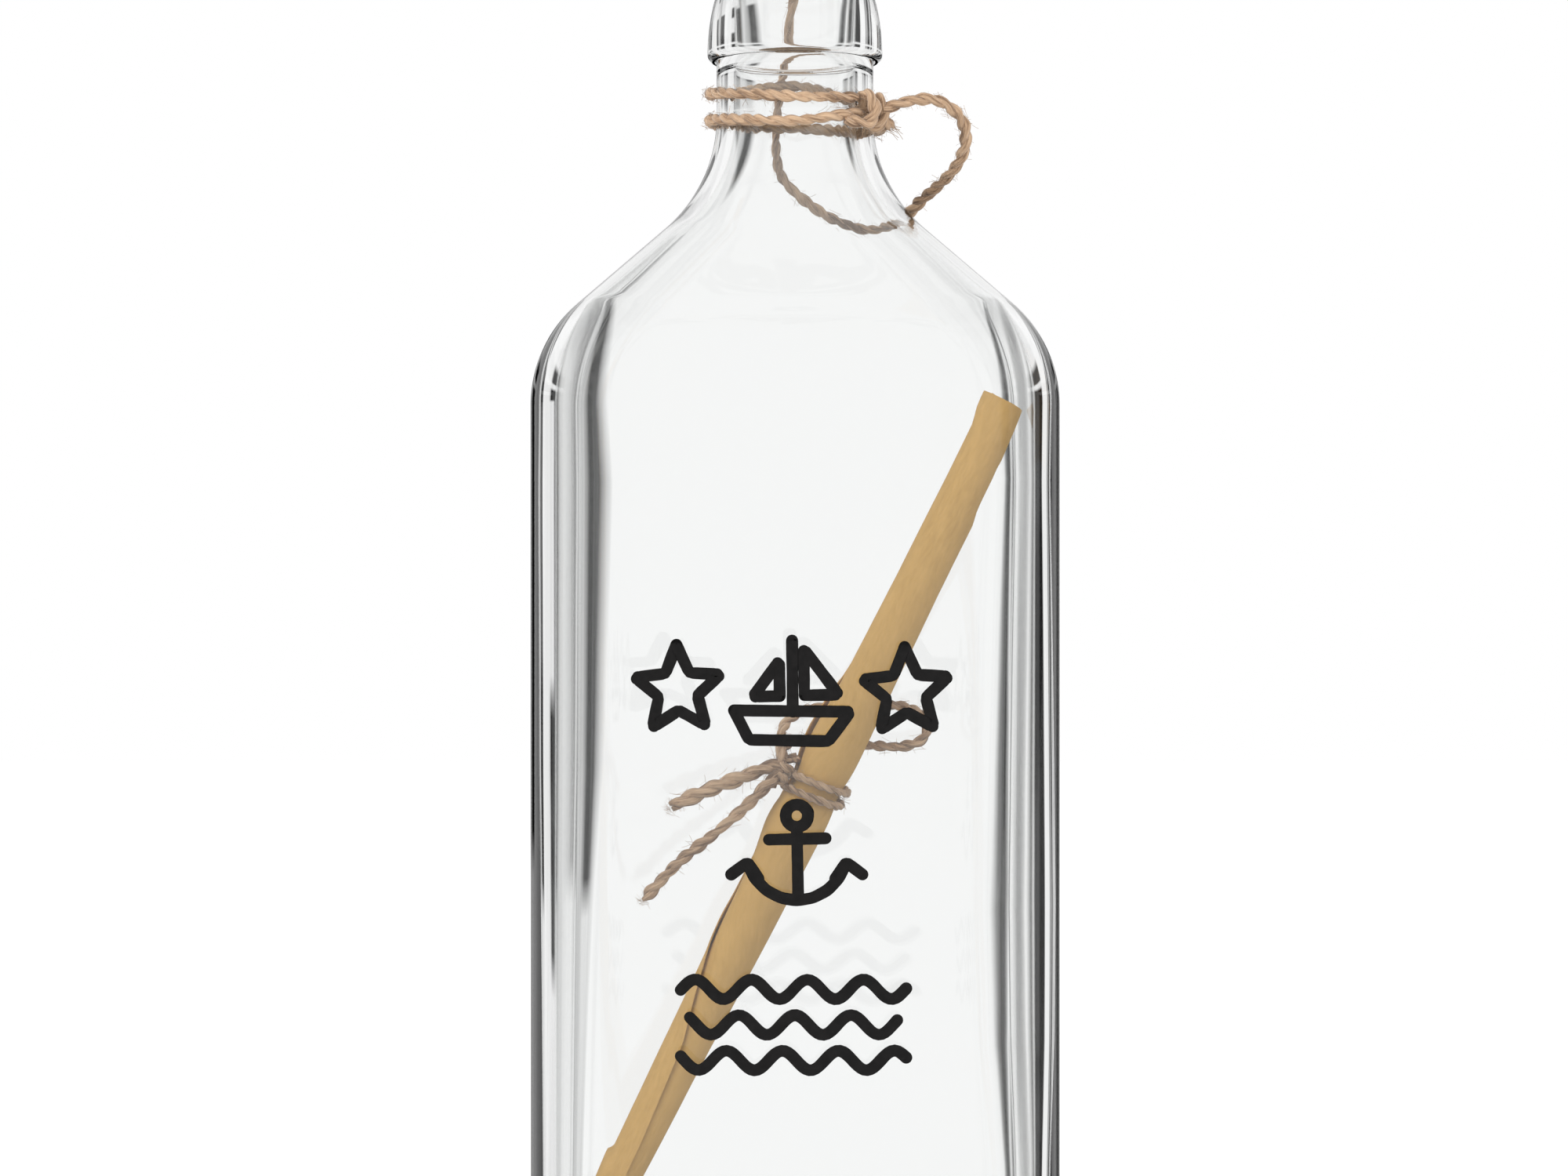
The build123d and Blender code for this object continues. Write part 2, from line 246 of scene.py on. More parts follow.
@dataclass(frozen=True)
class ClearGlass(Finish):
    """Bottle glass, clear, with a trace of grey in its thickness."""

    name: str = "clear_glass"
    colour: tuple = (0.955, 0.960, 0.957)
    shadow: tuple = (0.94, 0.945, 0.94)
    refraction: float = 1.5
    ripple: float = 0.05
    ripple_scale: float = 55.0

    def surface(self, graph: Graph) -> dict:
        """Smooth glass with a faint ripple."""
        place = graph.add("ShaderNodeTexCoord").outputs["Object"]
        bump = graph.bump(graph.noise(place, self.ripple_scale, 1.0), self.ripple, 0.4)
        return {"Base Color": (*self.colour, 1), "Roughness": 0.0, "IOR": self.refraction,
                "Transmission Weight": 1.0, "Normal": bump}

    def shader(self, graph: Graph) -> NodeSocket:
        """Lets shadow rays through, so that what is inside is lit."""
        clear = graph.out("ShaderNodeBsdfTransparent", {"Color": (*self.shadow, 1)})
        crossing = graph.add("ShaderNodeLightPath").outputs["Is Shadow Ray"]
        return graph.out("ShaderNodeMixShader", {0: crossing, 1: super().shader(graph), 2: clear})


@dataclass(frozen=True)
class KraftPaper(Finish):
    """Brown wrapping paper with fine fibres and faint clouds, on the sheet's own map in metres."""

    name: str = "kraft_paper"
    light: tuple = (0.648, 0.394, 0.124)
    dark: tuple = (0.496, 0.289, 0.075)
    fineness: float = 700.0

    def surface(self, graph: Graph) -> dict:
        """Fibres and clouds."""
        place = graph.add("ShaderNodeAttribute", attribute_name="sheet").outputs["Vector"]
        fibres = graph.fibres(place, self.fineness, (1.0, 0.3, 1.0), 1.6)
        share = graph.math("MULTIPLY", fibres["Mask"], graph.noise(place, 45.0, 3.0))
        return {"Base Color": graph.mix(graph.math("MULTIPLY", share, 1.5), self.light, self.dark),
                "Roughness": 0.82, "Normal": graph.bump(fibres["Height"], 0.3, 0.05)}


@dataclass(frozen=True)
class JuteTwine(Finish):
    """Jute yarn: fibres along each strand, from straw to brown, on the strand's own map."""

    name: str = "jute_twine"
    light: tuple = (0.610, 0.425, 0.275)
    middle: tuple = (0.420, 0.272, 0.168)
    dark: tuple = (0.170, 0.100, 0.056)
    fineness: float = 900.0

    def surface(self, graph: Graph) -> dict:
        """Fibres, lighter and darker in places."""
        place = graph.add("ShaderNodeAttribute", attribute_name="strand").outputs["Vector"]
        fibres = graph.fibres(place, self.fineness, (1.0, 0.12, 1.0), 2.6)
        clouds = graph.math("SUBTRACT", graph.noise(place, 160.0, 2.0), 0.5)
        share = graph.math("ADD", fibres["Mask"], graph.math("MULTIPLY", clouds, 0.8))
        return {"Base Color": graph.ramp(share, ((0.0, self.dark), (0.45, self.middle), (1.0, self.light))),
                "Roughness": 0.9, "Sheen Weight": 0.25, "Normal": graph.bump(fibres["Mask"], 0.7, 0.12)}


@dataclass(frozen=True)
class NaturalCork(Finish):
    """Cork with darker pores and growth clouds."""

    name: str = "natural_cork"
    light: tuple = (0.560, 0.385, 0.235)
    dark: tuple = (0.330, 0.200, 0.110)
    pore: tuple = (0.105, 0.055, 0.028)

    def surface(self, graph: Graph) -> dict:
        """Grain, cells and sunk pores."""
        place = graph.add("ShaderNodeTexCoord").outputs["Object"]
        cells = graph.out("ShaderNodeTexVoronoi", {"Vector": place, "Scale": 700.0})
        grain = graph.fibres(place, 260.0, (1.0, 1.0, 0.5), 1.8)
        flat = graph.vector_math("MULTIPLY", place, (1.0, 1.0, 2.2))
        pores = graph.ramp(graph.noise(flat, 330.0, 3.0, 0.6), ((0.60, 0.0), (0.66, 1.0)))
        height = graph.math("SUBTRACT", graph.math("MULTIPLY", cells, 0.25), pores)
        body = graph.mix(grain["Mask"], self.light, self.dark)
        return {"Base Color": graph.mix(pores, body, self.pore), "Roughness": 0.85,
                "Normal": graph.bump(height, 0.8, 0.25)}


@dataclass(frozen=True)
class PrintInk(Finish):
    """Black ink printed on glass, a little uneven as screen print is."""

    name: str = "print_ink"
    thin: tuple = (0.012, 0.011, 0.011)
    thick: tuple = (0.003, 0.003, 0.003)

    def surface(self, graph: Graph) -> dict:
        """Thinner and thicker cover."""
        cover = graph.noise(graph.add("ShaderNodeTexCoord").outputs["Object"], 900.0, 3.0)
        return {"Base Color": graph.mix(cover, self.thin, self.thick), "Specular IOR Level": 0.12,
                "Roughness": graph.math("ADD", graph.math("MULTIPLY", cover, 0.2), 0.3)}


@dataclass(frozen=True)
class TableWhite(Finish):
    """The floor's white."""

    name: str = "table_white"
    white: float = 0.9
    glow: float = 0.31

    def surface(self, graph: Graph) -> dict:
        """Matt, and lit from within just so far that it reads as pure white."""
        return {"Base Color": (self.white, self.white, self.white, 1), "Roughness": 0.9,
                "Specular IOR Level": 0.0, "Emission Color": (1, 1, 1, 1), "Emission Strength": self.glow}


def add_object(name: str, mesh: Mesh, finish: Material | None) -> Object:
    """Links a new object for a mesh, with smooth faces.

    Args:
        name: the piece's name.
        mesh: its mesh, in the row frame.
        finish: its only material, or None where the mesh has its own.

    Returns:
        The object, at the origin.
    """
    mesh.name = name
    if finish is not None:
        mesh.materials.clear()
        mesh.materials.append(finish)
    mesh.shade_smooth()
    return linked(name, mesh)


def linked(name: str, data: ID) -> Object:
    """Makes an object for a mesh, a curve, a lamp or a camera and links it to the scene."""
    item = bpy.data.objects.new(name, data)
    bpy.context.scene.collection.objects.link(item)
    return item


def settle(piece: Object, body: Body, nodes: tuple = ()) -> None:
    """Puts a finished piece on its body and hides the nodes that it stands for."""
    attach(piece, body.value)
    if nodes:
        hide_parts(*nodes)
    LOG.info("%s: %d faces on %s", piece.name, len(piece.data.polygons), body.value)


def wrapped(count: int, around: int) -> tuple[np.ndarray, np.ndarray]:
    """Point numbers of closed rows, and those of the points after them."""
    index = np.arange(count * around).reshape(count, around)
    return index, np.roll(index, -1, axis=1)


def new_mesh(points: list, faces: list) -> Mesh:
    """Makes a mesh of points in metres and faces of point numbers."""
    mesh = bpy.data.meshes.new("skin")
    mesh.from_pydata([tuple(p) for p in points], [], [tuple(int(i) for i in face) for face in faces])
    mesh.update()
    return mesh


def mesh_of_rows(rows: np.ndarray, start: tuple, end: tuple) -> Mesh:
    """A skin through closed rows of points.

    Args:
        rows: rows by points by 3, in metres.
        start: the point that closes the first row.
        end: the point that closes the last row.

    Returns:
        The mesh.
    """
    index, after = wrapped(*rows.shape[:2])
    faces = list(np.stack([index[:-1], after[:-1], after[1:], index[1:]], axis=-1).reshape(-1, 4))
    faces += [(later, here, index.size) for here, later in zip(index[0], after[0])]
    faces += [(here, later, index.size + 1) for here, later in zip(index[-1], after[-1])]
    return new_mesh([*rows.reshape(-1, 3), start, end], faces)


def quarter_arc(steps: int) -> list[tuple[float, float]]:
    """Points along a quarter circle of radius 1.

    Args:
        steps: how many.

    Returns:
        For each point 1 less its cosine and 1 less its sine.
    """
    return [(1 - math.cos(turn), 1 - math.sin(turn)) for turn in np.linspace(0, QUARTER_TURN, steps)]


@dataclass
class GlassFlask:
    """The blown bottle, outside and inside, in millimetres and degrees."""

    width: float = 80.2
    depth: float = 50.0
    corner: float = 14.2
    bow: float = 4.0
    heel: float = 5.0
    shoulder_level: float = 139.6
    shoulder_radius: float = 20.5
    shoulder_angle: float = 48.4
    flare_radius: float = 23.6
    neck_diameter: float = 24.0
    collar_level: float = 192.5
    collar_diameter: float = 26.8
    collar_edge: float = 1.1
    ring_height: float = 9.3
    ring_top_diameter: float = 24.7
    lip_height: float = 8.7
    lip_diameter: float = 23.4
    lip_rounding: float = 1.1
    mouth_rounding: float = 0.5
    bore_diameter: float = 18.5
    bore_start: float = 2.0
    side_wall: float = 3.8
    panel_wall: float = 4.3
    base_wall: float = 7.0
    cavity_corner: float = 11.0
    corner_drift: tuple = (
        (0, -2.2, -1.2), (25, -2.0, -0.6), (45, -1.5, 0.9), (65, -0.9, 1.3), (85, -0.2, 0.9),
        (110, 0.1, 0.2), (128, 0.3, -0.5), (139.6, 0.0, 0.0))
    floor_rounding: float = 3.0
    rest_width: float = 4.5
    punt_depth: float = 1.3
    punt_slope: float = 5.0
    punt_corner: float = 4.0
    middle_shares: tuple = (0.35, 0.7, 0.97)
    steps_per_flank: int = 12
    steps_per_corner: int = 40
    steps_per_panel: int = 16
    steps_up: int = 46
    steps_heel: int = 9
    steps_neck: int = 5
    steps_edge: int = 7
    steps_ring: int = 12
    steps_mouth: int = 5
    steps_bore: int = 8
    steps_floor: int = 8

    def __post_init__(self) -> None:
        """Works out the sizes that follow from the others."""
        self.neck = self.neck_diameter / 2
        self.bore = self.bore_diameter / 2
        self.half_width, self.half_depth = self.width / 2, self.depth / 2
        self.neck_wall = self.neck - self.bore
        self.mouth_level = self.collar_level + self.ring_height + self.lip_height
        turn = math.radians(self.shoulder_angle)
        fall = 1 - math.cos(turn)
        edge = self.half_width - self.shoulder_radius * fall
        rise = (edge - self.neck - self.flare_radius * fall) / math.tan(turn)
        both = (self.shoulder_radius + self.flare_radius) * math.sin(turn)
        self.flare_level = self.shoulder_level + both + rise
        self.sine, self.fall = math.sin(math.radians(self.bow)), 1 - math.cos(math.radians(self.bow))
        self.angles = self._angles()

    def _angles(self) -> np.ndarray:
        """Directions in which the outline faces, at each point round it."""
        bow = math.radians(self.bow)
        spans = []
        for side in range(4):
            middle = side * QUARTER_TURN
            steps = self.steps_per_panel if side % 2 else self.steps_per_flank
            spans.append(np.linspace(middle - bow, middle + bow, steps, endpoint=False))
            spans.append(np.linspace(middle + bow, middle + QUARTER_TURN - bow, self.steps_per_corner,
                                     endpoint=False))
        return np.concatenate(spans)

    def bow_radii(self, half_width: float, half_depth: float, corner: float) -> tuple[float, float]:
        """Radii of the narrow sides' bow and of the panels' bow, which run smoothly into the corners."""
        across, along = (half + corner * (self.sine + self.fall - 1) for half in (half_width, half_depth))
        panel = (across * self.sine - along * self.fall) / (self.sine**2 - self.fall**2)
        return (along - panel * self.fall) / self.sine, panel

    def ring(self, level: float, half_width: float, half_depth: float, corner: float) -> np.ndarray:
        """One level of the flask: four bowed sides that run into four corner arcs.

        Args:
            level: height over the base.
            half_width: from the middle to a narrow side.
            half_depth: from the middle to a panel.
            corner: radius of the corner arcs.

        Returns:
            The points round it, in millimetres.
        """
        flank, panel = self.bow_radii(half_width, half_depth, corner)
        cosines, sines = np.cos(self.angles), np.sin(self.angles)
        limit = self.sine * ROUNDING_SLACK
        on_flank, on_panel = abs(sines) <= limit, abs(cosines) <= limit
        radius = np.where(on_flank, flank, np.where(on_panel, panel, corner))
        middle_x = np.where(on_flank, half_width - flank, np.where(on_panel, 0, (panel - corner) * self.sine))
        middle_y = np.where(on_panel, half_depth - panel, np.where(on_flank, 0, (flank - corner) * self.sine))
        x = np.sign(cosines) * middle_x + radius * cosines
        y = np.sign(sines) * middle_y + radius * sines
        return np.stack([x, y, np.full_like(x, level)], axis=-1)

    def _blend(self, half_width: float, *ends: tuple) -> list[float]:
        """Sizes at a half width of the outside, from pairs of the neck's size and the body's."""
        share = (half_width - self.neck) / (self.half_width - self.neck)
        return [neck + (body - neck) * share for neck, body in ends]

    def outer(self, level: float, half_width: float, inset: float = 0.0) -> np.ndarray:
        """Outside of the glass at one level."""
        half_depth, corner = self._blend(half_width, (self.neck, self.half_depth), (self.neck, self.corner))
        return self.ring(level, half_width - inset, half_depth - inset, corner - inset)

    def inner(self, level: float, half_width: float, inset: float = 0.0) -> np.ndarray:
        """Inside of the glass at one level, whose outside has that half width."""
        half_depth, side, panel, corner = self._blend(
            half_width, (self.neck, self.half_depth), (self.neck_wall, self.side_wall),
            (self.neck_wall, self.panel_wall), (self.bore, self.cavity_corner))
        levels, *drifts = np.transpose(self.corner_drift)
        left, right = (self.ring(level, half_width - side - inset, half_depth - panel - inset,
                                 corner - inset + np.interp(level, levels, drift)) for drift in drifts)
        return np.where(left[:, :1] < 0, left, right)

    def circle(self, level: float, radius: float) -> np.ndarray:
        """A round level of the neck."""
        return self.ring(level, radius, radius, radius)

    def shoulder(self, arc_steps: int = 22, slope_steps: int = 8) -> list[tuple[float, float]]:
        """Levels and half widths of the front outline, from the straight body to the neck."""
        turns = np.linspace(0, math.radians(self.shoulder_angle), arc_steps)
        lower = [(self.shoulder_level + self.shoulder_radius * math.sin(turn),
                  self.half_width - self.shoulder_radius * (1 - math.cos(turn))) for turn in turns]
        upper = [(self.flare_level - self.flare_radius * math.sin(turn),
                  self.neck + self.flare_radius * (1 - math.cos(turn))) for turn in turns[::-1]]
        low, high = np.array(lower[-1]), np.array(upper[0])
        slope = [tuple(low + (high - low) * share) for share in np.linspace(0, 1, slope_steps)[1:-1]]
        return lower + slope + upper

    def neck_radius_at(self, level: float) -> float:
        """Radius of the neck at a level on it or on the flare below it."""
        drop = max(self.flare_level - level, 0)
        return self.neck + self.flare_radius * (1 - math.cos(math.asin(drop / self.flare_radius)))

    def panel_radius(self) -> float:
        """Radius of the front panel's bow."""
        return self.bow_radii(self.half_width, self.half_depth, self.corner)[1]

    def outside_rows(self) -> list[np.ndarray]:
        """Rows from the middle of the base up to the mouth."""
        edge = self.heel + self.rest_width
        deep = edge + self.punt_slope
        floor = self.ring(self.punt_depth, self.half_width - deep, self.half_depth - deep, self.punt_corner)
        middle = np.array([0, 0, self.punt_depth])
        rows = [middle + (floor - middle) * share for share in self.middle_shares]
        rows += [floor, self.ring(0, self.half_width - edge, self.half_depth - edge, self.punt_corner)]
        rows += [self.outer(self.heel * fall, self.half_width, self.heel * short)
                 for fall, short in quarter_arc(self.steps_heel)]
        rows += [self.outer(level, self.half_width)
                 for level in np.linspace(self.heel, self.shoulder_level, self.steps_up)[1:-1]]
        rows += [self.outer(*station) for station in self.shoulder()]
        rows += [self.circle(level, self.neck)
                 for level in np.linspace(self.flare_level, self.collar_level, self.steps_neck)[1:]]
        return rows + [self.circle(*station) for station in self.collar_profile()]

    def collar_profile(self) -> list[tuple[float, float]]:
        """Levels and radii of the ring and the lip, up to the flat of the mouth."""
        widest, ring_top, lip = (size / 2 for size in (
            self.collar_diameter, self.ring_top_diameter, self.lip_diameter))
        start, top = self.collar_level + self.collar_edge, self.collar_level + self.ring_height
        profile = [(self.collar_level, (self.neck + widest) / 2)]
        profile += [(self.collar_level + self.collar_edge * fall, widest - self.collar_edge * short)
                    for fall, short in quarter_arc(self.steps_edge)]
        profile += self._arc_down(start, widest, top, ring_top, self.steps_ring)
        groove = self._arc_down(top + self.lip_height / 2, lip, top, ring_top, self.steps_edge)
        profile += reversed(groove[:-1])
        return profile + [(self.mouth_level - self.lip_rounding * short, lip - self.lip_rounding * fall)
                          for fall, short in quarter_arc(self.steps_edge)]

    @staticmethod
    def _arc_down(level: float, radius: float, end_level: float, end_radius: float,
                  steps: int) -> list[tuple[float, float]]:
        """Points on an arc that starts upright, without its first point."""
        across, along = radius - end_radius, end_level - level
        size = (across**2 + along**2) / (2 * across)
        rises = along * np.linspace(0, 1, steps)[1:]
        return [(level + rise, radius - size + math.copysign(math.sqrt(size**2 - rise**2), size))
                for rise in rises]

    def inside_rows(self) -> list[np.ndarray]:
        """Rows from the mouth down to the middle of the hollow's floor."""
        rows = [self.circle(self.mouth_level - self.mouth_rounding * fall,
                            self.bore + self.mouth_rounding * short)
                for fall, short in quarter_arc(self.steps_mouth)]
        bore = np.linspace(self.mouth_level - self.bore_start, self.flare_level, self.steps_bore)
        rows += [self.circle(level, self.bore) for level in bore[:-1]]
        rows += [self.inner(*station) for station in reversed(self.shoulder())]
        low = self.base_wall + self.floor_rounding
        rows += [self.inner(level, self.half_width)
                 for level in np.linspace(self.shoulder_level, low, self.steps_up)[1:-1]]
        rows += [self.inner(self.base_wall + self.floor_rounding * short, self.half_width,
                            self.floor_rounding * fall) for fall, short in quarter_arc(self.steps_floor)]
        middle = np.array([0, 0, self.base_wall])
        return rows + [middle + (rows[-1] - middle) * share for share in reversed(self.middle_shares)]

    def build(self, glass: Material) -> None:
        """Makes the bottle's mesh and dresses it."""
        rows = np.array(self.outside_rows() + self.inside_rows()) * MM
        skin = mesh_of_rows(rows, (0, 0, self.punt_depth * MM), (0, 0, self.base_wall * MM))
        settle(add_object("flask_glass", skin, glass), Body.BOTTLE, ("bottle",))


def evaluated_mesh(holder: Object) -> Mesh:
    """The plain mesh that an object's curve or modifiers make."""
    depsgraph = bpy.context.evaluated_depsgraph_get()
    return bpy.data.meshes.new_from_object(holder.evaluated_get(depsgraph), depsgraph=depsgraph)


def grown(source: Object, tree: NodeTree, values: dict) -> Mesh:
    """Runs a Geometry Nodes tree on an object and takes the plain mesh that it makes.

    Args:
        source: the object that carries the tree; it is deleted afterwards.
        tree: the tree.
        values: the tree's inputs by name.

    Returns:
        The mesh, with its instances realised and its material set.
    """
    modifier = source.modifiers.new(tree.name, "NODES")
    modifier.node_group = tree
    identifiers = {item.name: item.identifier for item in tree.interface.items_tree
                   if item.item_type == "SOCKET" and item.in_out == "INPUT"}
    for name, value in values.items():
        modifier[identifiers[name]] = value
    mesh = evaluated_mesh(source)
    source.modifiers.clear()
    bpy.data.objects.remove(source)
    return mesh


def route_object(name: str, routes: list[np.ndarray], order: int = 3) -> Object:
    """A curve object with one smooth open spline for each route.

    Args:
        name: the object's name.
        routes: control points in millimetres.
        order: the splines' order.

    Returns:
        The object, linked to the scene.
    """
    curve = bpy.data.curves.new(name, "CURVE")
    curve.dimensions = "3D"
    curve.resolution_u = 12
    for route in routes:
        spline = curve.splines.new("NURBS")
        spline.points.add(len(route) - 1)
        for point, place in zip(spline.points, route):
            point.co = (*(float(v) * MM for v in place), 1)
        spline.order_u = order
        spline.use_endpoint_u = True
    return linked(name, curve)


def spline_points(holder: Object) -> list[Vector]:
    """Points along a curve object's spline, as Blender rounds it."""
    mesh = evaluated_mesh(holder)
    points = [vertex.co.copy() for vertex in mesh.vertices]
    bpy.data.meshes.remove(mesh)
    return points


def geometry_group(name: str, numbers: tuple, counts: tuple = ()) -> tuple[Graph, dict]:
    """Makes a Geometry Nodes group that takes a geometry, numbers and a material.

    Args:
        name: the group's name.
        numbers: names of the inputs that are numbers.
        counts: names of the inputs that are whole numbers.

    Returns:
        The graph, and the group input's sockets by name.
    """
    inputs = {"Geometry": Socket.GEOMETRY, **dict.fromkeys(numbers, Socket.FLOAT),
              **dict.fromkeys(counts, Socket.INTEGER), "Material": Socket.MATERIAL}
    return group_with_sockets("GeometryNodeTree", name, inputs, {"Geometry": Socket.GEOMETRY})


def put_out(graph: Graph, parts: list, material: NodeSocket) -> NodeTree:
    """Ends a Geometry Nodes group: joins its parts as real geometry in one material."""
    joined = graph.out("GeometryNodeJoinGeometry", {0: parts})
    real = graph.out("GeometryNodeRealizeInstances", {"Geometry": joined})
    dressed = graph.out("GeometryNodeSetMaterial", {"Geometry": real, "Material": material})
    graph.add("NodeGroupOutput", {"Geometry": dressed})
    return graph.tree


@dataclass(frozen=True)
class StrandDetail:
    """The twine tree's fixed numbers: scales are per metre, spreads are shares of a unit direction."""

    clump_scale: float = 420.0
    phase_sway: float = 0.2
    map_shift: float = 0.05
    taper_radii: float = 4.0
    tip_share: float = 0.5
    last_share: float = 0.9995
    strand_sides: int = 10
    hair_sides: int = 3
    hair_steps: int = 4
    hair_middle: tuple = (0.12, 0.05, 0.5)
    hair_end: tuple = (0.5, 0.12, 0.95)
    hair_lean: float = 1.6
    hair_spread: float = 0.5
    hair_lengths: tuple = (0.4, 1.4)
    tuft_spread: float = 0.55
    tuft_lengths: tuple = (0.4, 1.1)


@cache
def twine_tree() -> NodeTree:
    """Strands wound round each other along a curve, with stray fibres and a frayed end.

    Returns:
        The Geometry Nodes tree, made once.
    """
    detail = StrandDetail()
    graph, entry = geometry_group(
        "twine_strands", ("Strand Radius", "Lay Radius", "Pitch", "Step", "Unevenness", "Fuzz Density",
                          "Fuzz Length", "Fuzz Radius", "Tuft Length"), ("Strands", "Tuft Count", "Seed"))

    def stored(geometry: NodeSocket, label: str, value: NodeSocket, kind: str = "FLOAT") -> NodeSocket:
        """Stores a value on the points under a name."""
        return graph.out("GeometryNodeStoreNamedAttribute", {
            "Geometry": geometry, "Value": value, "Name": label}, data_type=kind, domain="POINT")

    def recalled(label: str, kind: str = "FLOAT") -> NodeSocket:
        """Reads a stored value."""
        return graph.out("GeometryNodeInputNamedAttribute", {"Name": label}, data_type=kind)

    def random(kind: str, inputs: dict, shift: int) -> bpy_prop_collection:
        """The outputs of a Random Value node with a seed of its own."""
        seed = graph.math("ADD", entry["Seed"], shift)
        return graph.add("FunctionNodeRandomValue", {**inputs, "Seed": seed}, data_type=kind).outputs

    def drawn(low: float, high: float, shift: int) -> NodeSocket:
        """A random number for each point."""
        return random("FLOAT", {2: low, 3: high}, shift)[1]

    def scatter(shift: int, size: Value) -> NodeSocket:
        """A random direction for each point, of a size."""
        return graph.scaled(random("FLOAT_VECTOR", {0: (-1, -1, -1), 1: (1, 1, 1)}, shift)[0], size)

    smooth = graph.out("GeometryNodeResampleCurve", {"Curve": entry["Geometry"], "Length": entry["Step"]},
                       mode="LENGTH")
    copies = graph.add("GeometryNodeDuplicateElements", {"Geometry": smooth, "Amount": entry["Strands"]},
                       domain="SPLINE")
    copy = copies.outputs["Duplicate Index"]
    spline = graph.add("GeometryNodeSplineParameter").outputs
    place = graph.out("GeometryNodeInputPosition")
    uneven = graph.noise(place, detail.clump_scale, 2.0)
    swing = graph.math("MULTIPLY", graph.math("SUBTRACT", uneven, 0.5), entry["Unevenness"])
    grow = graph.math("ADD", swing, 1.0)
    turns = graph.math("ADD", graph.math("DIVIDE", spline["Length"], entry["Pitch"]),
                       graph.math("DIVIDE", copy, entry["Strands"]))
    sway = graph.math("MULTIPLY", swing, detail.phase_sway)
    angle = graph.math("MULTIPLY", graph.math("ADD", turns, sway), FULL_TURN)
    normal, tangent = graph.out("GeometryNodeInputNormal"), graph.out("GeometryNodeInputTangent")
    side = graph.vector_math("CROSS_PRODUCT", tangent, normal)
    outward = graph.vector_math("ADD", graph.scaled(normal, graph.math("COSINE", angle)),
                                graph.scaled(side, graph.math("SINE", angle)))
    offset = graph.scaled(outward, graph.math("MULTIPLY", entry["Lay Radius"], grow))
    wound = graph.out("GeometryNodeSetPosition", {"Geometry": copies.outputs[0], "Offset": offset})
    along = graph.math("ADD", spline["Length"], graph.math("MULTIPLY", copy, detail.map_shift))
    strands = stored(stored(wound, "along", along), "share", spline["Factor"])
    strands = stored(strands, "heading", tangent, "FLOAT_VECTOR")
    total = graph.add("GeometryNodeSplineLength").outputs["Length"]
    left = graph.math("DIVIDE", graph.math("SUBTRACT", total, spline["Length"]),
                      graph.math("MULTIPLY", entry["Strand Radius"], detail.taper_radii))
    taper = graph.math("MINIMUM", graph.math("ADD", left, detail.tip_share), 1.0)
    ring = graph.out("GeometryNodeCurvePrimitiveCircle", {
        "Resolution": detail.strand_sides, "Radius": entry["Strand Radius"]})
    profile = stored(ring, "ring", place, "FLOAT_VECTOR")
    yarn = graph.out("GeometryNodeCurveToMesh", {
        "Curve": strands, "Profile Curve": profile, "Scale": graph.math("MULTIPLY", taper, grow),
        "Fill Caps": True})
    parts = graph.add("ShaderNodeSeparateXYZ", {0: recalled("ring", "FLOAT_VECTOR")}).outputs
    mapped = graph.joined(parts[0], recalled("along"), parts[1])
    yarn = stored(yarn, "strand", mapped, "FLOAT_VECTOR")
    bend = graph.out("GeometryNodeCurveQuadraticBezier", {
        "Resolution": detail.hair_steps, "Middle": detail.hair_middle, "End": detail.hair_end})
    slender = graph.math("DIVIDE", entry["Fuzz Radius"], entry["Fuzz Length"])
    thin = graph.out("GeometryNodeCurvePrimitiveCircle", {"Resolution": detail.hair_sides,
                                                          "Radius": slender})
    hair = graph.out("GeometryNodeCurveToMesh", {"Curve": bend, "Profile Curve": thin})

    def hairs(points: NodeSocket, direction: NodeSocket, size: NodeSocket) -> NodeSocket:
        """Stands a fibre on each point."""
        turned = graph.out("FunctionNodeAlignRotationToVector", {"Vector": direction}, axis="Z")
        return graph.out("GeometryNodeInstanceOnPoints", {"Points": points, "Instance": hair,
                                                          "Rotation": turned, "Scale": size})

    heading = recalled("heading", "FLOAT_VECTOR")
    sown = graph.add("GeometryNodeDistributePointsOnFaces", {
        "Mesh": yarn, "Density": entry["Fuzz Density"], "Seed": entry["Seed"]},
        distribute_method="RANDOM").outputs
    lean = graph.vector_math("ADD", graph.scaled(heading, drawn(-detail.hair_lean, detail.hair_lean, 1)),
                             graph.vector_math("ADD", sown["Normal"], scatter(2, detail.hair_spread)))
    fuzz = hairs(sown["Points"], lean, graph.math(
        "MULTIPLY", entry["Fuzz Length"], drawn(*detail.hair_lengths, 3)))
    ends = graph.out("GeometryNodeCurveToPoints", {"Curve": strands}, mode="EVALUATED")
    last = graph.out("FunctionNodeCompare", {0: recalled("share"), 1: detail.last_share},
                     data_type="FLOAT", operation="GREATER_THAN")
    tips = graph.out("GeometryNodeSeparateGeometry", {"Geometry": ends, "Selection": last}, domain="POINT")
    many = graph.out("GeometryNodeDuplicateElements", {"Geometry": tips, "Amount": entry["Tuft Count"]},
                     domain="POINT")
    many = graph.out("GeometryNodeSetPosition", {"Geometry": many,
                                                 "Offset": scatter(4, entry["Strand Radius"])})
    brush = graph.vector_math("ADD", heading, scatter(5, detail.tuft_spread))
    tuft = hairs(many, brush, graph.math("MULTIPLY", entry["Tuft Length"], drawn(*detail.tuft_lengths, 6)))
    return put_out(graph, [tuft, fuzz, yarn], entry["Material"])


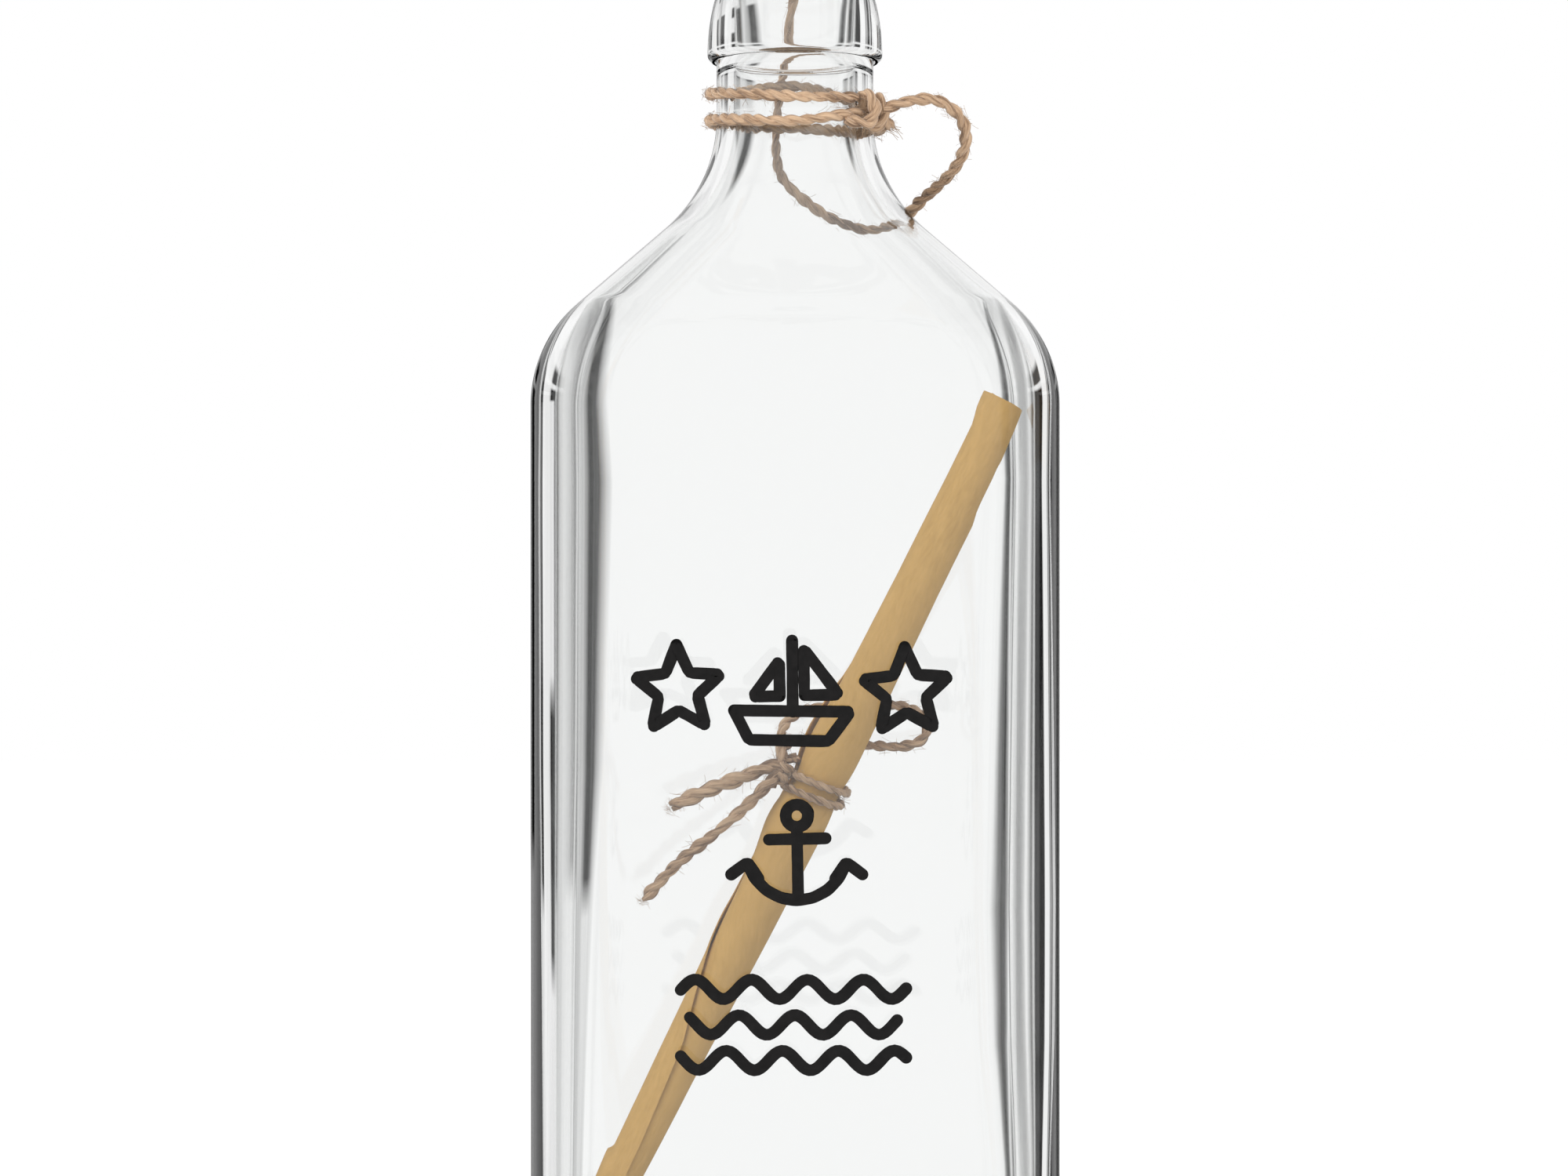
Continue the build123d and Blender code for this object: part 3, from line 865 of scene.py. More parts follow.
@dataclass
class Twine:
    """Jute twine of two strands, in millimetres."""

    material: Material
    strand_radius: float = 0.56
    lay_radius: float = 0.31
    pitch: float = 4.7
    step: float = 0.3
    unevenness: float = 0.8
    fuzz_per_square_metre: float = 380000.0
    fuzz_length: float = 0.9
    fuzz_radius: float = 0.022
    tuft_length: float = 1.7

    def lay(self, name: str, route: np.ndarray, seed: int, tuft: int = 0,
            size: float = 1.0) -> tuple[Object, list[Vector]]:
        """Lays the twine along a route.

        Args:
            name: the piece's name.
            route: control points in millimetres.
            seed: for the stray fibres.
            tuft: fibres at the frayed end of each strand.
            size: how thick it is, as a share of the usual twine.

        Returns:
            The piece, and the points along its middle line.
        """
        holder = route_object(f"{name}_route", [route])
        path = spline_points(holder)
        values = {"Strands": 2, "Strand Radius": self.strand_radius * size * MM,
                  "Lay Radius": self.lay_radius * size * MM, "Pitch": self.pitch * size * MM,
                  "Step": self.step * MM, "Unevenness": self.unevenness,
                  "Fuzz Density": self.fuzz_per_square_metre, "Fuzz Length": self.fuzz_length * MM,
                  "Fuzz Radius": self.fuzz_radius * MM, "Tuft Length": self.tuft_length * MM,
                  "Tuft Count": tuft, "Seed": seed, "Material": self.material}
        return add_object(name, grown(holder, twine_tree(), values), None), path


KNOT_ROUTE = np.array((
    (-4.2, -1.7, -1.3), (-2.6, -1.9, -0.2), (-1.2, -2.2, 0.9), (-0.6, -0.6, 1.7), (-0.8, 1.4, 1.5),
    (-0.9, 2.6, 0.3), (-0.5, 2.3, -1.0), (0.4, 0.6, -1.3), (1.0, -1.2, -1.0), (1.5, -2.5, 0.0),
    (1.9, -1.6, 1.3), (1.7, 0.3, 1.7), (1.3, 1.9, 1.1), (1.8, 2.2, -0.2), (2.8, 1.2, -0.6),
    (3.2, -0.2, 0.2), (3.4, -1.4, 0.7), (4.4, -1.8, 0.6), (5.4, -1.9, 0.3)))


def knot_route(centre: np.ndarray, right: np.ndarray, up: np.ndarray, size: float) -> np.ndarray:
    """An overhand knot's route round a place.

    Args:
        centre: its middle, in millimetres.
        right: the direction in which the tied strands run.
        up: across them, on the surface that they lie on.
        size: how large it is.

    Returns:
        Its control points, in millimetres.
    """
    return centre + size * KNOT_ROUTE @ np.stack([right, up, np.cross(right, up)])


def facing(azimuth: float) -> tuple[np.ndarray, np.ndarray]:
    """The level directions outwards and to the right at an azimuth in degrees."""
    turn = math.radians(azimuth)
    return (np.array((math.cos(turn), math.sin(turn), 0)), np.array((-math.sin(turn), math.cos(turn), 0)))


def wound_route(reach: float | list[float], azimuths: np.ndarray, levels: np.ndarray) -> np.ndarray:
    """A route round the upright axis, at distances, azimuths in degrees and levels."""
    turn = np.radians(azimuths)
    return np.stack([reach * np.cos(turn), reach * np.sin(turn), levels], axis=-1)


@dataclass
class NeckTwine:
    """The twine tied round the neck, with one long loose end, in millimetres and degrees."""

    twine: Twine
    flask: GlassFlask
    clearance: float = 0.15
    radius: float = 0.85
    drop: float = 10.9
    knot_azimuth: float = -38.0
    knot_level: float = 184.0
    knot_out: float = 2.1
    turn_azimuths: tuple = (-46, -90, -180, -270, -360, -450, -540, -630, -720, -750)
    turn_shares: tuple = (0.606, 0.642, 0.45, 0.147, 0.633, 0.991, 0.817, 0.798, 0.936, 1.0)
    turn_step: float = 18.0
    loose_end: tuple = (
        (13.2, -8.4, 184.2), (17.6, -8.0, 186.0), (22.4, -6.8, 185.9), (26.0, -4.4, 182.8),
        (26.0, -1.0, 178.4), (23.2, 3.2, 174.9), (19.4, 8.2, 172.2), (16.4, 13.2, 169.0),
        (12.0, 16.8, 167.2), (6.6, 17.4, 168.6), (1.4, 16.2, 172.2), (-2.6, 15.4, 176.2),
        (-4.0, 15.2, 182.0), (-3.2, 15.3, 188.8), (-1.9, 15.2, 195.4), (-0.6, 14.9, 201.2),
        (2.6, 14.4, 204.4), (6.8, 13.8, 204.6))

    def loose(self) -> None:
        """Lays the long loose end, which is a free cord."""
        piece, path = self.twine.lay("neck_twine_loose", np.array(self.loose_end), 3, tuft=16, size=1.1)
        settle(piece, Body.BOTTLE, ("neck_twine_end",))

    def turns(self) -> None:
        """Winds the two turns, a little uneven, from the knot and back to it."""
        first, last = self.turn_azimuths[0], self.turn_azimuths[-1]
        azimuths = np.linspace(first, last, round((first - last) / self.turn_step) + 1)
        levels = self.flask.collar_level - self.drop * np.interp(
            -azimuths, [-a for a in self.turn_azimuths], self.turn_shares)
        inside = math.cos(math.radians(self.turn_step / 2))
        reach = [(self.flask.neck_radius_at(level) + self.clearance + self.radius) / inside
                 for level in levels]
        piece, _ = self.twine.lay("neck_twine_wound", wound_route(reach, azimuths, levels), 5, size=1.06)
        settle(piece, Body.BOTTLE, ("neck_twine_turns",))

    def knot(self) -> None:
        """Ties the knot at the right of the neck's front."""
        out, right = facing(self.knot_azimuth)
        up = np.array((0, 0, 1.0))
        centre = out * (self.flask.neck + self.knot_out) + up * self.knot_level
        piece, _ = self.twine.lay("neck_twine_tied", knot_route(centre, right, up, 1.0), 7, tuft=14,
                                  size=1.12)
        settle(piece, Body.BOTTLE, ("neck_twine_knot",))


@dataclass
class PaperRoll:
    """The sheet rolled into a leaning tube, in millimetres and degrees, on axes of its own.

    They are front, right and along. A puff is given by its offset from the tie, its width, its
    height and how closely it keeps to the left; the notch by its start, run, end and depth.
    """

    paper: Material
    foot: tuple = (-33.0875, 2.5, 8.6371)
    lean_sine: float = 0.444412
    depth_sine: float = 0.033784
    length: float = 148.0
    thickness: float = 0.17
    turns: float = 6.0
    turn_pitch_share: float = 0.092
    profile: tuple = ((0, 3.0), (16, 3.2), (58, 4.05), (76, 4.35), (88, 4.35), (101, 4.0), (116, 3.7),
                      (148, 3.7))
    edge_turns: tuple = ((0, 16.0), (22, 4.0), (38, -12.0), (50, -52.0), (60, -104.0), (74, -130.0),
                         (84, -104.0), (92, -82.0), (99, -118.0), (120, -150.0), (148, -150.0))
    edge_lifts: tuple = ((0, 0.15), (50, 0.4), (62, 0.1), (90, 0.5), (96, 0.3), (110, 0.1))
    edge_lift_turn: float = 16.0
    puffs: tuple = ((-7.5, 4.5, 0.7, 2), (8.0, 5.0, 0.35, 1))
    notch: tuple = (118, 16, 138.5, 0.12)
    dent: float = 0.10
    dent_across: float = 0.7
    dent_along: float = 14.0
    dent_seed: float = 9.1
    mean_radius: float = 3.7
    sharp_angle: float = 50.0
    steps_per_turn: int = 44
    steps_along: int = 120
    tie_height: float = 82.0
    tie_squeeze: float = 0.4
    tie_width: float = 2.6

    def __post_init__(self) -> None:
        """Works out the roll's axes."""
        rise = math.sqrt(1 - self.lean_sine**2 - self.depth_sine**2)
        along = np.array((self.lean_sine, -self.depth_sine, rise))
        front = np.array((0, -1.0, 0))
        front -= along * front.dot(along)
        front /= np.linalg.norm(front)
        self.axes = np.stack([front, np.cross(along, front), along])

    def place(self, points: np.ndarray) -> np.ndarray:
        """Takes points from the roll's axes to the row's."""
        return np.array(self.foot) + self.direction(points)

    def direction(self, vectors: tuple | np.ndarray) -> np.ndarray:
        """Takes directions from the roll's axes to the row's."""
        return np.array(vectors) @ self.axes

    def _radius(self, height: np.ndarray, turn: np.ndarray, layer: np.ndarray) -> np.ndarray:
        """Radius of the sheet's outer face, with the tie's squeeze, the puffs, the notch and the free edge.

        Args:
            height: along the roll, from its foot.
            turn: direction round it from the front, in radians.
            layer: turns in from the free edge.

        Returns:
            The radius at each point.
        """
        radius = np.interp(height, *np.transpose(self.profile)) * (1 - self.turn_pitch_share * layer)
        left, right = np.clip(-np.sin(turn), 0, 1), np.clip(np.sin(turn), 0, 1)
        above = height - self.tie_height
        radius -= self.tie_squeeze * np.exp(-(above / self.tie_width) ** 2)
        for offset, width, rise, power in self.puffs:
            radius += rise * np.exp(-((above - offset) / width) ** 2) * left**power
        start, run, end, deep = self.notch
        radius -= deep * np.clip((height - start) / run, 0, 1) * (height < end) * right**2
        lift = np.interp(height, *np.transpose(self.edge_lifts))
        return radius + lift * np.exp(-(layer * 360 / self.edge_lift_turn) ** 2)

    def build(self) -> None:
        """Rolls the sheet as one closed skin of its two faces, its edges and its ends."""
        layers = np.linspace(0, self.turns, int(self.turns * self.steps_per_turn) + 1)
        layer, share = np.meshgrid(layers, np.linspace(0, 1, self.steps_along + 1), indexing="ij")
        # Each turn ends a little inside the one round it, and unevenly.
        foot = 0.35 + 0.25 * np.sin(layer * 2.3) + 0.1 * layer
        top = self.length - 0.35 * layer - 0.4 * np.sin(layer * 1.7 + 0.6)**2
        height = foot + (top - foot) * share
        turn = np.radians(np.interp(height, *np.transpose(self.edge_turns))) - FULL_TURN * layer
        outer = self._radius(height, turn, layer)
        for index in np.ndindex(outer.shape):
            spot = Vector((math.cos(turn[index]) * self.dent_across, math.sin(turn[index]) * self.dent_across,
                           height[index] / self.dent_along))
            outer[index] += self.dent * noise.noise(spot + Vector((0, 0, self.dent_seed)))
        faces = [self.place(np.stack([radius * np.cos(turn), radius * np.sin(turn), height], axis=-1)) * MM
                 for radius in (outer, outer - self.thickness)]
        loops = self._both_faces(*faces)
        index, after = wrapped(*loops.shape[:2])
        quads = np.stack([index[:-1], index[1:], after[1:], after[:-1]], axis=-1).reshape(-1, 4)
        half = index.shape[1] // 2
        ends = []
        for row in (index[0], index[-1]):
            back = row[:half - 1:-1]
            ends.append(np.stack([row[:half - 1], row[1:half], back[1:], back[:-1]], axis=-1))
        mesh = new_mesh(loops.reshape(-1, 3), [*quads, *ends[0], *ends[1][:, ::-1]])
        arc = layer * FULL_TURN * self.mean_radius * MM
        sheet = np.stack([arc, height * MM, np.zeros_like(arc)], axis=-1)
        attribute = mesh.attributes.new("sheet", "FLOAT_VECTOR", "POINT")
        attribute.data.foreach_set("vector", self._both_faces(sheet, sheet).astype(np.float32).ravel())
        piece = add_object("rolled_sheet", mesh, self.paper)
        mesh.set_sharp_from_angle(angle=math.radians(self.sharp_angle))
        settle(piece, Body.MESSAGE, ("message_roll",))

    @staticmethod
    def _both_faces(outer: np.ndarray, inner: np.ndarray) -> np.ndarray:
        """Joins two faces of the sheet to closed loops, one for each height."""
        return np.concatenate([outer, inner[::-1]], axis=0).transpose(1, 0, 2)


@dataclass
class RollTwine:
    """The thinner twine tied round the roll, in the roll's own axes, in millimetres and degrees."""

    twine: Twine
    roll: PaperRoll
    size: float = 0.74
    turns: float = 2.0
    pitch: float = 2.2
    clearance: float = 0.05
    knot_azimuth: float = -75.0
    turn_step: float = 18.0
    knot_out: float = 5.5
    knot_size: float = 0.62
    bow: tuple = (
        (1.2, -6.0, 0.4), (0.2, -7.3, 1.9), (-3.3, -6.6, 4.3), (-5.8, -2.6, 6.0), (-5.7, 1.9, 7.6),
        (-3.6, 5.9, 9.3), (-1.6, 9.5, 11.0), (-0.8, 11.9, 13.8), (-2.0, 10.4, 16.8), (-4.2, 6.6, 16.6),
        (-5.9, 2.5, 14.6), (-6.2, -2.0, 12.2), (-5.0, -6.2, 9.6), (-1.6, -8.8, 6.6), (1.8, -8.0, 3.2),
        (1.7, -6.4, 0.8))
    short_end: tuple = ((1.3, -5.9, 0.5), (1.2, -7.4, -0.2), (2.2, -10.6, -3.6), (2.6, -14.6, -7.8),
                        (1.8, -18.4, -12.6))
    long_end: tuple = ((1.8, -6.0, -0.4), (2.6, -6.6, -2.2), (3.4, -8.2, -7.4), (3.2, -11.0, -14.0),
                       (2.2, -14.2, -20.6), (1.0, -15.8, -27.4))

    def _from_tie(self, points: tuple) -> np.ndarray:
        """Takes points, given from the tie, to the row's axes."""
        return self.roll.place(np.array(points) + (0, 0, self.roll.tie_height))

    def build(self) -> None:
        """Winds the turns, ties the knot and lays the bow and the two loose ends."""
        radius = (self.twine.strand_radius + self.twine.lay_radius) * self.size
        tied = max(size for _, size in self.roll.profile) - self.roll.tie_squeeze
        reach = (tied + radius + self.clearance) / math.cos(math.radians(self.turn_step / 2))
        azimuths = self.turn_step * np.arange(round(self.turns * 360 / self.turn_step) + 1)
        rise = self.pitch * (azimuths / 360 - self.turns / 2)
        wound = wound_route(reach, self.knot_azimuth + azimuths, rise)
        out, right = facing(self.knot_azimuth)
        knot = knot_route(self._from_tie(out * self.knot_out), -self.roll.direction((0, 0, 1)),
                          self.roll.direction(right), self.knot_size)
        lengths = (
            ("roll_twine_wound", self._from_tie(wound), self.size, 0, "roll_tie_turns"),
            ("roll_twine_tied", knot, self.size, 0, "roll_tie_knot"),
            ("roll_twine_bow", self._from_tie(self.bow), 0.95, 0, "roll_tie_bow"),
            ("roll_twine_short", self._from_tie(self.short_end), 1.4, 30, "roll_tie_short_end"),
            ("roll_twine_long", self._from_tie(self.long_end), 1.1, 18, "roll_tie_long_end"))
        for seed, (name, route, size, tuft, node) in enumerate(lengths, 11):
            piece, _ = self.twine.lay(name, route, seed, tuft, size)
            settle(piece, Body.MESSAGE, (node,))


@dataclass
class CorkStopper:
    """The tapered cork in the mouth, in millimetres."""

    cork: Material
    bottom: float = 203.5
    height: float = 16.0
    bottom_radius: float = 8.745
    top_radius: float = 9.864
    edge: float = 0.6
    around: int = 150
    pit_depth: float = 0.4
    pit_start: float = 0.28
    pit_slope: float = 0.2
    bottom_shares: tuple = (0.3, 0.6, 0.85)
    top_shares: tuple = (0.97, 0.05)
    steps_edge: int = 5
    steps_side: int = 56
    steps_top: int = 26

    def _profile(self) -> list[tuple[float, float]]:
        """Radii and levels from the bottom's middle to the top's."""
        low, high, top = self.bottom_radius, self.top_radius, self.bottom + self.height
        slope = (high - low) / self.height
        profile = [(share * (low - self.edge), self.bottom) for share in self.bottom_shares]
        profile += [(low - self.edge * short, self.bottom + self.edge * fall)
                    for fall, short in quarter_arc(self.steps_edge)]
        profile += [(low + slope * level, self.bottom + level)
                    for level in np.linspace(self.edge, self.height - self.edge, self.steps_side)[1:-1]]
        profile += [(high - self.edge * short, top - self.edge * fall)
                    for fall, short in reversed(quarter_arc(self.steps_edge))]
        return profile + [(share * (high - self.edge), top)
                          for share in np.linspace(*self.top_shares, self.steps_top)]

    def _pitted(self, spot: Vector, top: float) -> Vector:
        """Moves a point of the skin inwards where the cork has a pit."""
        grain = noise.noise(spot * 0.55) + 0.5 * noise.noise(spot * 1.7 + Vector((5, 1, 3)))
        pit = self.pit_depth * min(max((grain - self.pit_start) / self.pit_slope, 0), 1)
        outward = Vector((spot.x, spot.y, 0)).normalized()
        if spot.z > top - self.edge / 2:
            outward = Vector((0, 0, 1))
        elif spot.z < self.bottom + self.edge / 2:
            outward = Vector((0, 0, -1))
        return spot - outward * pit

    def build(self) -> None:
        """Turns the cork and pits its skin."""
        top = self.bottom + self.height
        turns = np.linspace(0, FULL_TURN, self.around, endpoint=False)
        rows = [[tuple(self._pitted(Vector((radius * math.cos(turn), radius * math.sin(turn), level)), top))
                 for turn in turns] for radius, level in self._profile()]
        skin = mesh_of_rows(np.array(rows) * MM, (0, 0, self.bottom * MM), (0, 0, top * MM))
        settle(add_object("cork_turned", skin, self.cork), Body.CORK, ("cork_stopper",))


def stroke_tree() -> NodeTree:
    """Printed strokes with round ends and corners on the bowed panel, from flat curves.

    Returns:
        The Geometry Nodes tree.
    """
    step, clump_scale, brush_sides, disc_sides = 0.5 * MM, 260.0, 12, 16
    graph, entry = geometry_group("printed_strokes", (
        "Half Width", "Film", "Half Depth", "Panel Radius", "Lift", "Unevenness"))
    smooth = graph.out("GeometryNodeResampleCurve", {"Curve": entry["Geometry"], "Length": step},
                       mode="LENGTH")
    place = graph.out("GeometryNodeInputPosition")
    parts = graph.add("ShaderNodeSeparateXYZ", {0: place}).outputs
    square = graph.math("SUBTRACT", graph.math("MULTIPLY", entry["Panel Radius"], entry["Panel Radius"]),
                        graph.math("MULTIPLY", parts[0], parts[0]))
    bow = graph.math("SUBTRACT", entry["Panel Radius"], graph.math("SQRT", square))
    front = graph.math("ADD", entry["Half Depth"], graph.math("SUBTRACT", entry["Lift"], bow))
    onto = graph.joined(parts[0], graph.math("MULTIPLY", front, -1.0), parts[2])
    laid = graph.out("GeometryNodeSetPosition", {"Geometry": smooth, "Position": onto})
    faced = graph.out("GeometryNodeSetCurveNormal", {"Curve": laid, "Normal": (0, -1, 0)}, mode="FREE")
    ring = graph.out("GeometryNodeCurvePrimitiveCircle", {"Resolution": brush_sides, "Radius": 1.0})
    size = graph.joined(entry["Film"], entry["Half Width"], 1.0)
    brush = graph.out("GeometryNodeTransform", {"Geometry": ring, "Scale": size})
    uneven = graph.math("SUBTRACT", graph.noise(place, clump_scale, 3.0), 0.5)
    press = graph.math("ADD", graph.math("MULTIPLY", uneven, entry["Unevenness"]), 1.0)
    ink = graph.out("GeometryNodeCurveToMesh", {"Curve": faced, "Profile Curve": brush, "Scale": press,
                                                "Fill Caps": True})
    outward = graph.joined(graph.math("DIVIDE", parts[0], entry["Panel Radius"]), -1.0, 0.0)
    turned = graph.out("FunctionNodeAlignRotationToVector", {"Vector": outward}, axis="Z")
    disc = graph.out("GeometryNodeMeshCircle", {"Vertices": disc_sides, "Radius": 1.0}, fill_type="NGON")
    spots = graph.out("GeometryNodeInstanceOnPoints", {
        "Points": laid, "Instance": disc, "Rotation": turned,
        "Scale": graph.math("MULTIPLY", entry["Half Width"], press)})
    return put_out(graph, [spots, ink], entry["Material"])


@dataclass
class PanelPrint:
    """A generic print on the front panel: stars, a boat, an anchor and waves, in millimetres."""

    ink: Material
    flask: GlassFlask
    half_width: float = 0.88
    film: float = 0.03
    lift: float = 0.03
    unevenness: float = 0.22
    boat_place: tuple = (-0.6, 96.8)
    star_places: tuple = ((-17.2, 97.2), (16.2, 96.9))
    anchor_place: tuple = (0.2, 73.2)
    wave_place: tuple = (-0.3, 48.2)

    @staticmethod
    def _star(size: float = 6.6, inner: float = 3.0, tilt: float = 92.0) -> list[np.ndarray]:
        """A five-pointed star in one stroke."""
        reach = np.where(np.arange(11) % 2, inner, size)
        angles = np.radians(tilt + 36 * np.arange(11))
        return [np.stack([reach * np.cos(angles), reach * np.sin(angles)], axis=-1)]

    @staticmethod
    def _boat() -> list[np.ndarray]:
        """A small sailing boat: hull, mast and two sails."""
        hull = ((-8.4, -2.6), (-6.2, -6.9), (5.4, -7.1), (8.6, -2.8), (-8.4, -2.6))
        mast = ((0.2, -2.8), (0.1, 7.6))
        main = ((1.9, -0.4), (1.8, 6.4), (6.9, -0.3), (1.9, -0.4))
        jib = ((-1.7, -0.5), (-1.8, 4.6), (-5.6, -0.6), (-1.7, -0.5))
        return [np.array(line) for line in (hull, mast, main, jib)]

    @staticmethod
    def _anchor() -> list[np.ndarray]:
        """An anchor: ring, shank, stock, arms and flukes."""
        turn = np.linspace(0, FULL_TURN, 13) + 0.3
        ring = np.stack([1.7 * np.cos(turn), 5.6 + 1.7 * np.sin(turn)], axis=-1)
        shank = np.array(((0, 3.9), (0.2, -6.6)))
        stock = np.array(((-4.1, 2.1), (4.2, 2.3)))
        sweep = np.linspace(math.radians(198), math.radians(342), 9)
        arms = np.stack([7.6 * np.cos(sweep), 1.0 + 7.8 * np.sin(sweep)], axis=-1)
        left = np.array(((-9.6, -3.0), (-7.2, -1.2), (-5.6, -3.6)))
        return [ring, shank, stock, arms, left, left * (-1, 1)]

    @staticmethod
    def _waves(width: float = 33.0, rows: int = 3, rise: float = 5.2, length: float = 8.2,
               height: float = 1.5) -> list[np.ndarray]:
        """Rows of waves."""
        lines = []
        for row in range(rows):
            across = np.linspace(-width / 2, width / 2, 41) * (1 - 0.08 * (row % 2))
            up = rise * (1 - row) + height * np.sin(across * FULL_TURN / length + 1.4 * row)
            lines.append(np.stack([across, up], axis=-1))
        return lines

    def build(self) -> None:
        """Draws the strokes and prints them on the panel."""
        marks = [(self._boat(), self.boat_place), (self._anchor(), self.anchor_place),
                 (self._waves(), self.wave_place)]
        marks += [(self._star(), place) for place in self.star_places]
        routes = []
        for lines, (middle, level) in marks:
            for across, up in (self._filled(line).T for line in lines):
                front = np.full(len(across), -self.flask.half_depth)
                routes.append(np.stack([across + middle, front, up + level], axis=-1))
        values = {"Half Width": self.half_width * MM, "Film": self.film * MM, "Lift": self.lift * MM,
                  "Half Depth": self.flask.half_depth * MM, "Unevenness": self.unevenness,
                  "Panel Radius": self.flask.panel_radius() * MM, "Material": self.ink}
        mesh = grown(route_object("print_routes", routes), stroke_tree(), values)
        settle(add_object("front_print", mesh, None), Body.BOTTLE)

    @staticmethod
    def _filled(line: np.ndarray, step: float = 0.9) -> np.ndarray:
        """Adds points along a line's runs, so that its spline keeps the corners nearly sharp."""
        points = [line[0]]
        for start, end in zip(line, line[1:]):
            parts = max(int(np.linalg.norm(end - start) / step), 1)
            points += [start + (end - start) * part / parts for part in range(1, parts + 1)]
        return np.array(points)


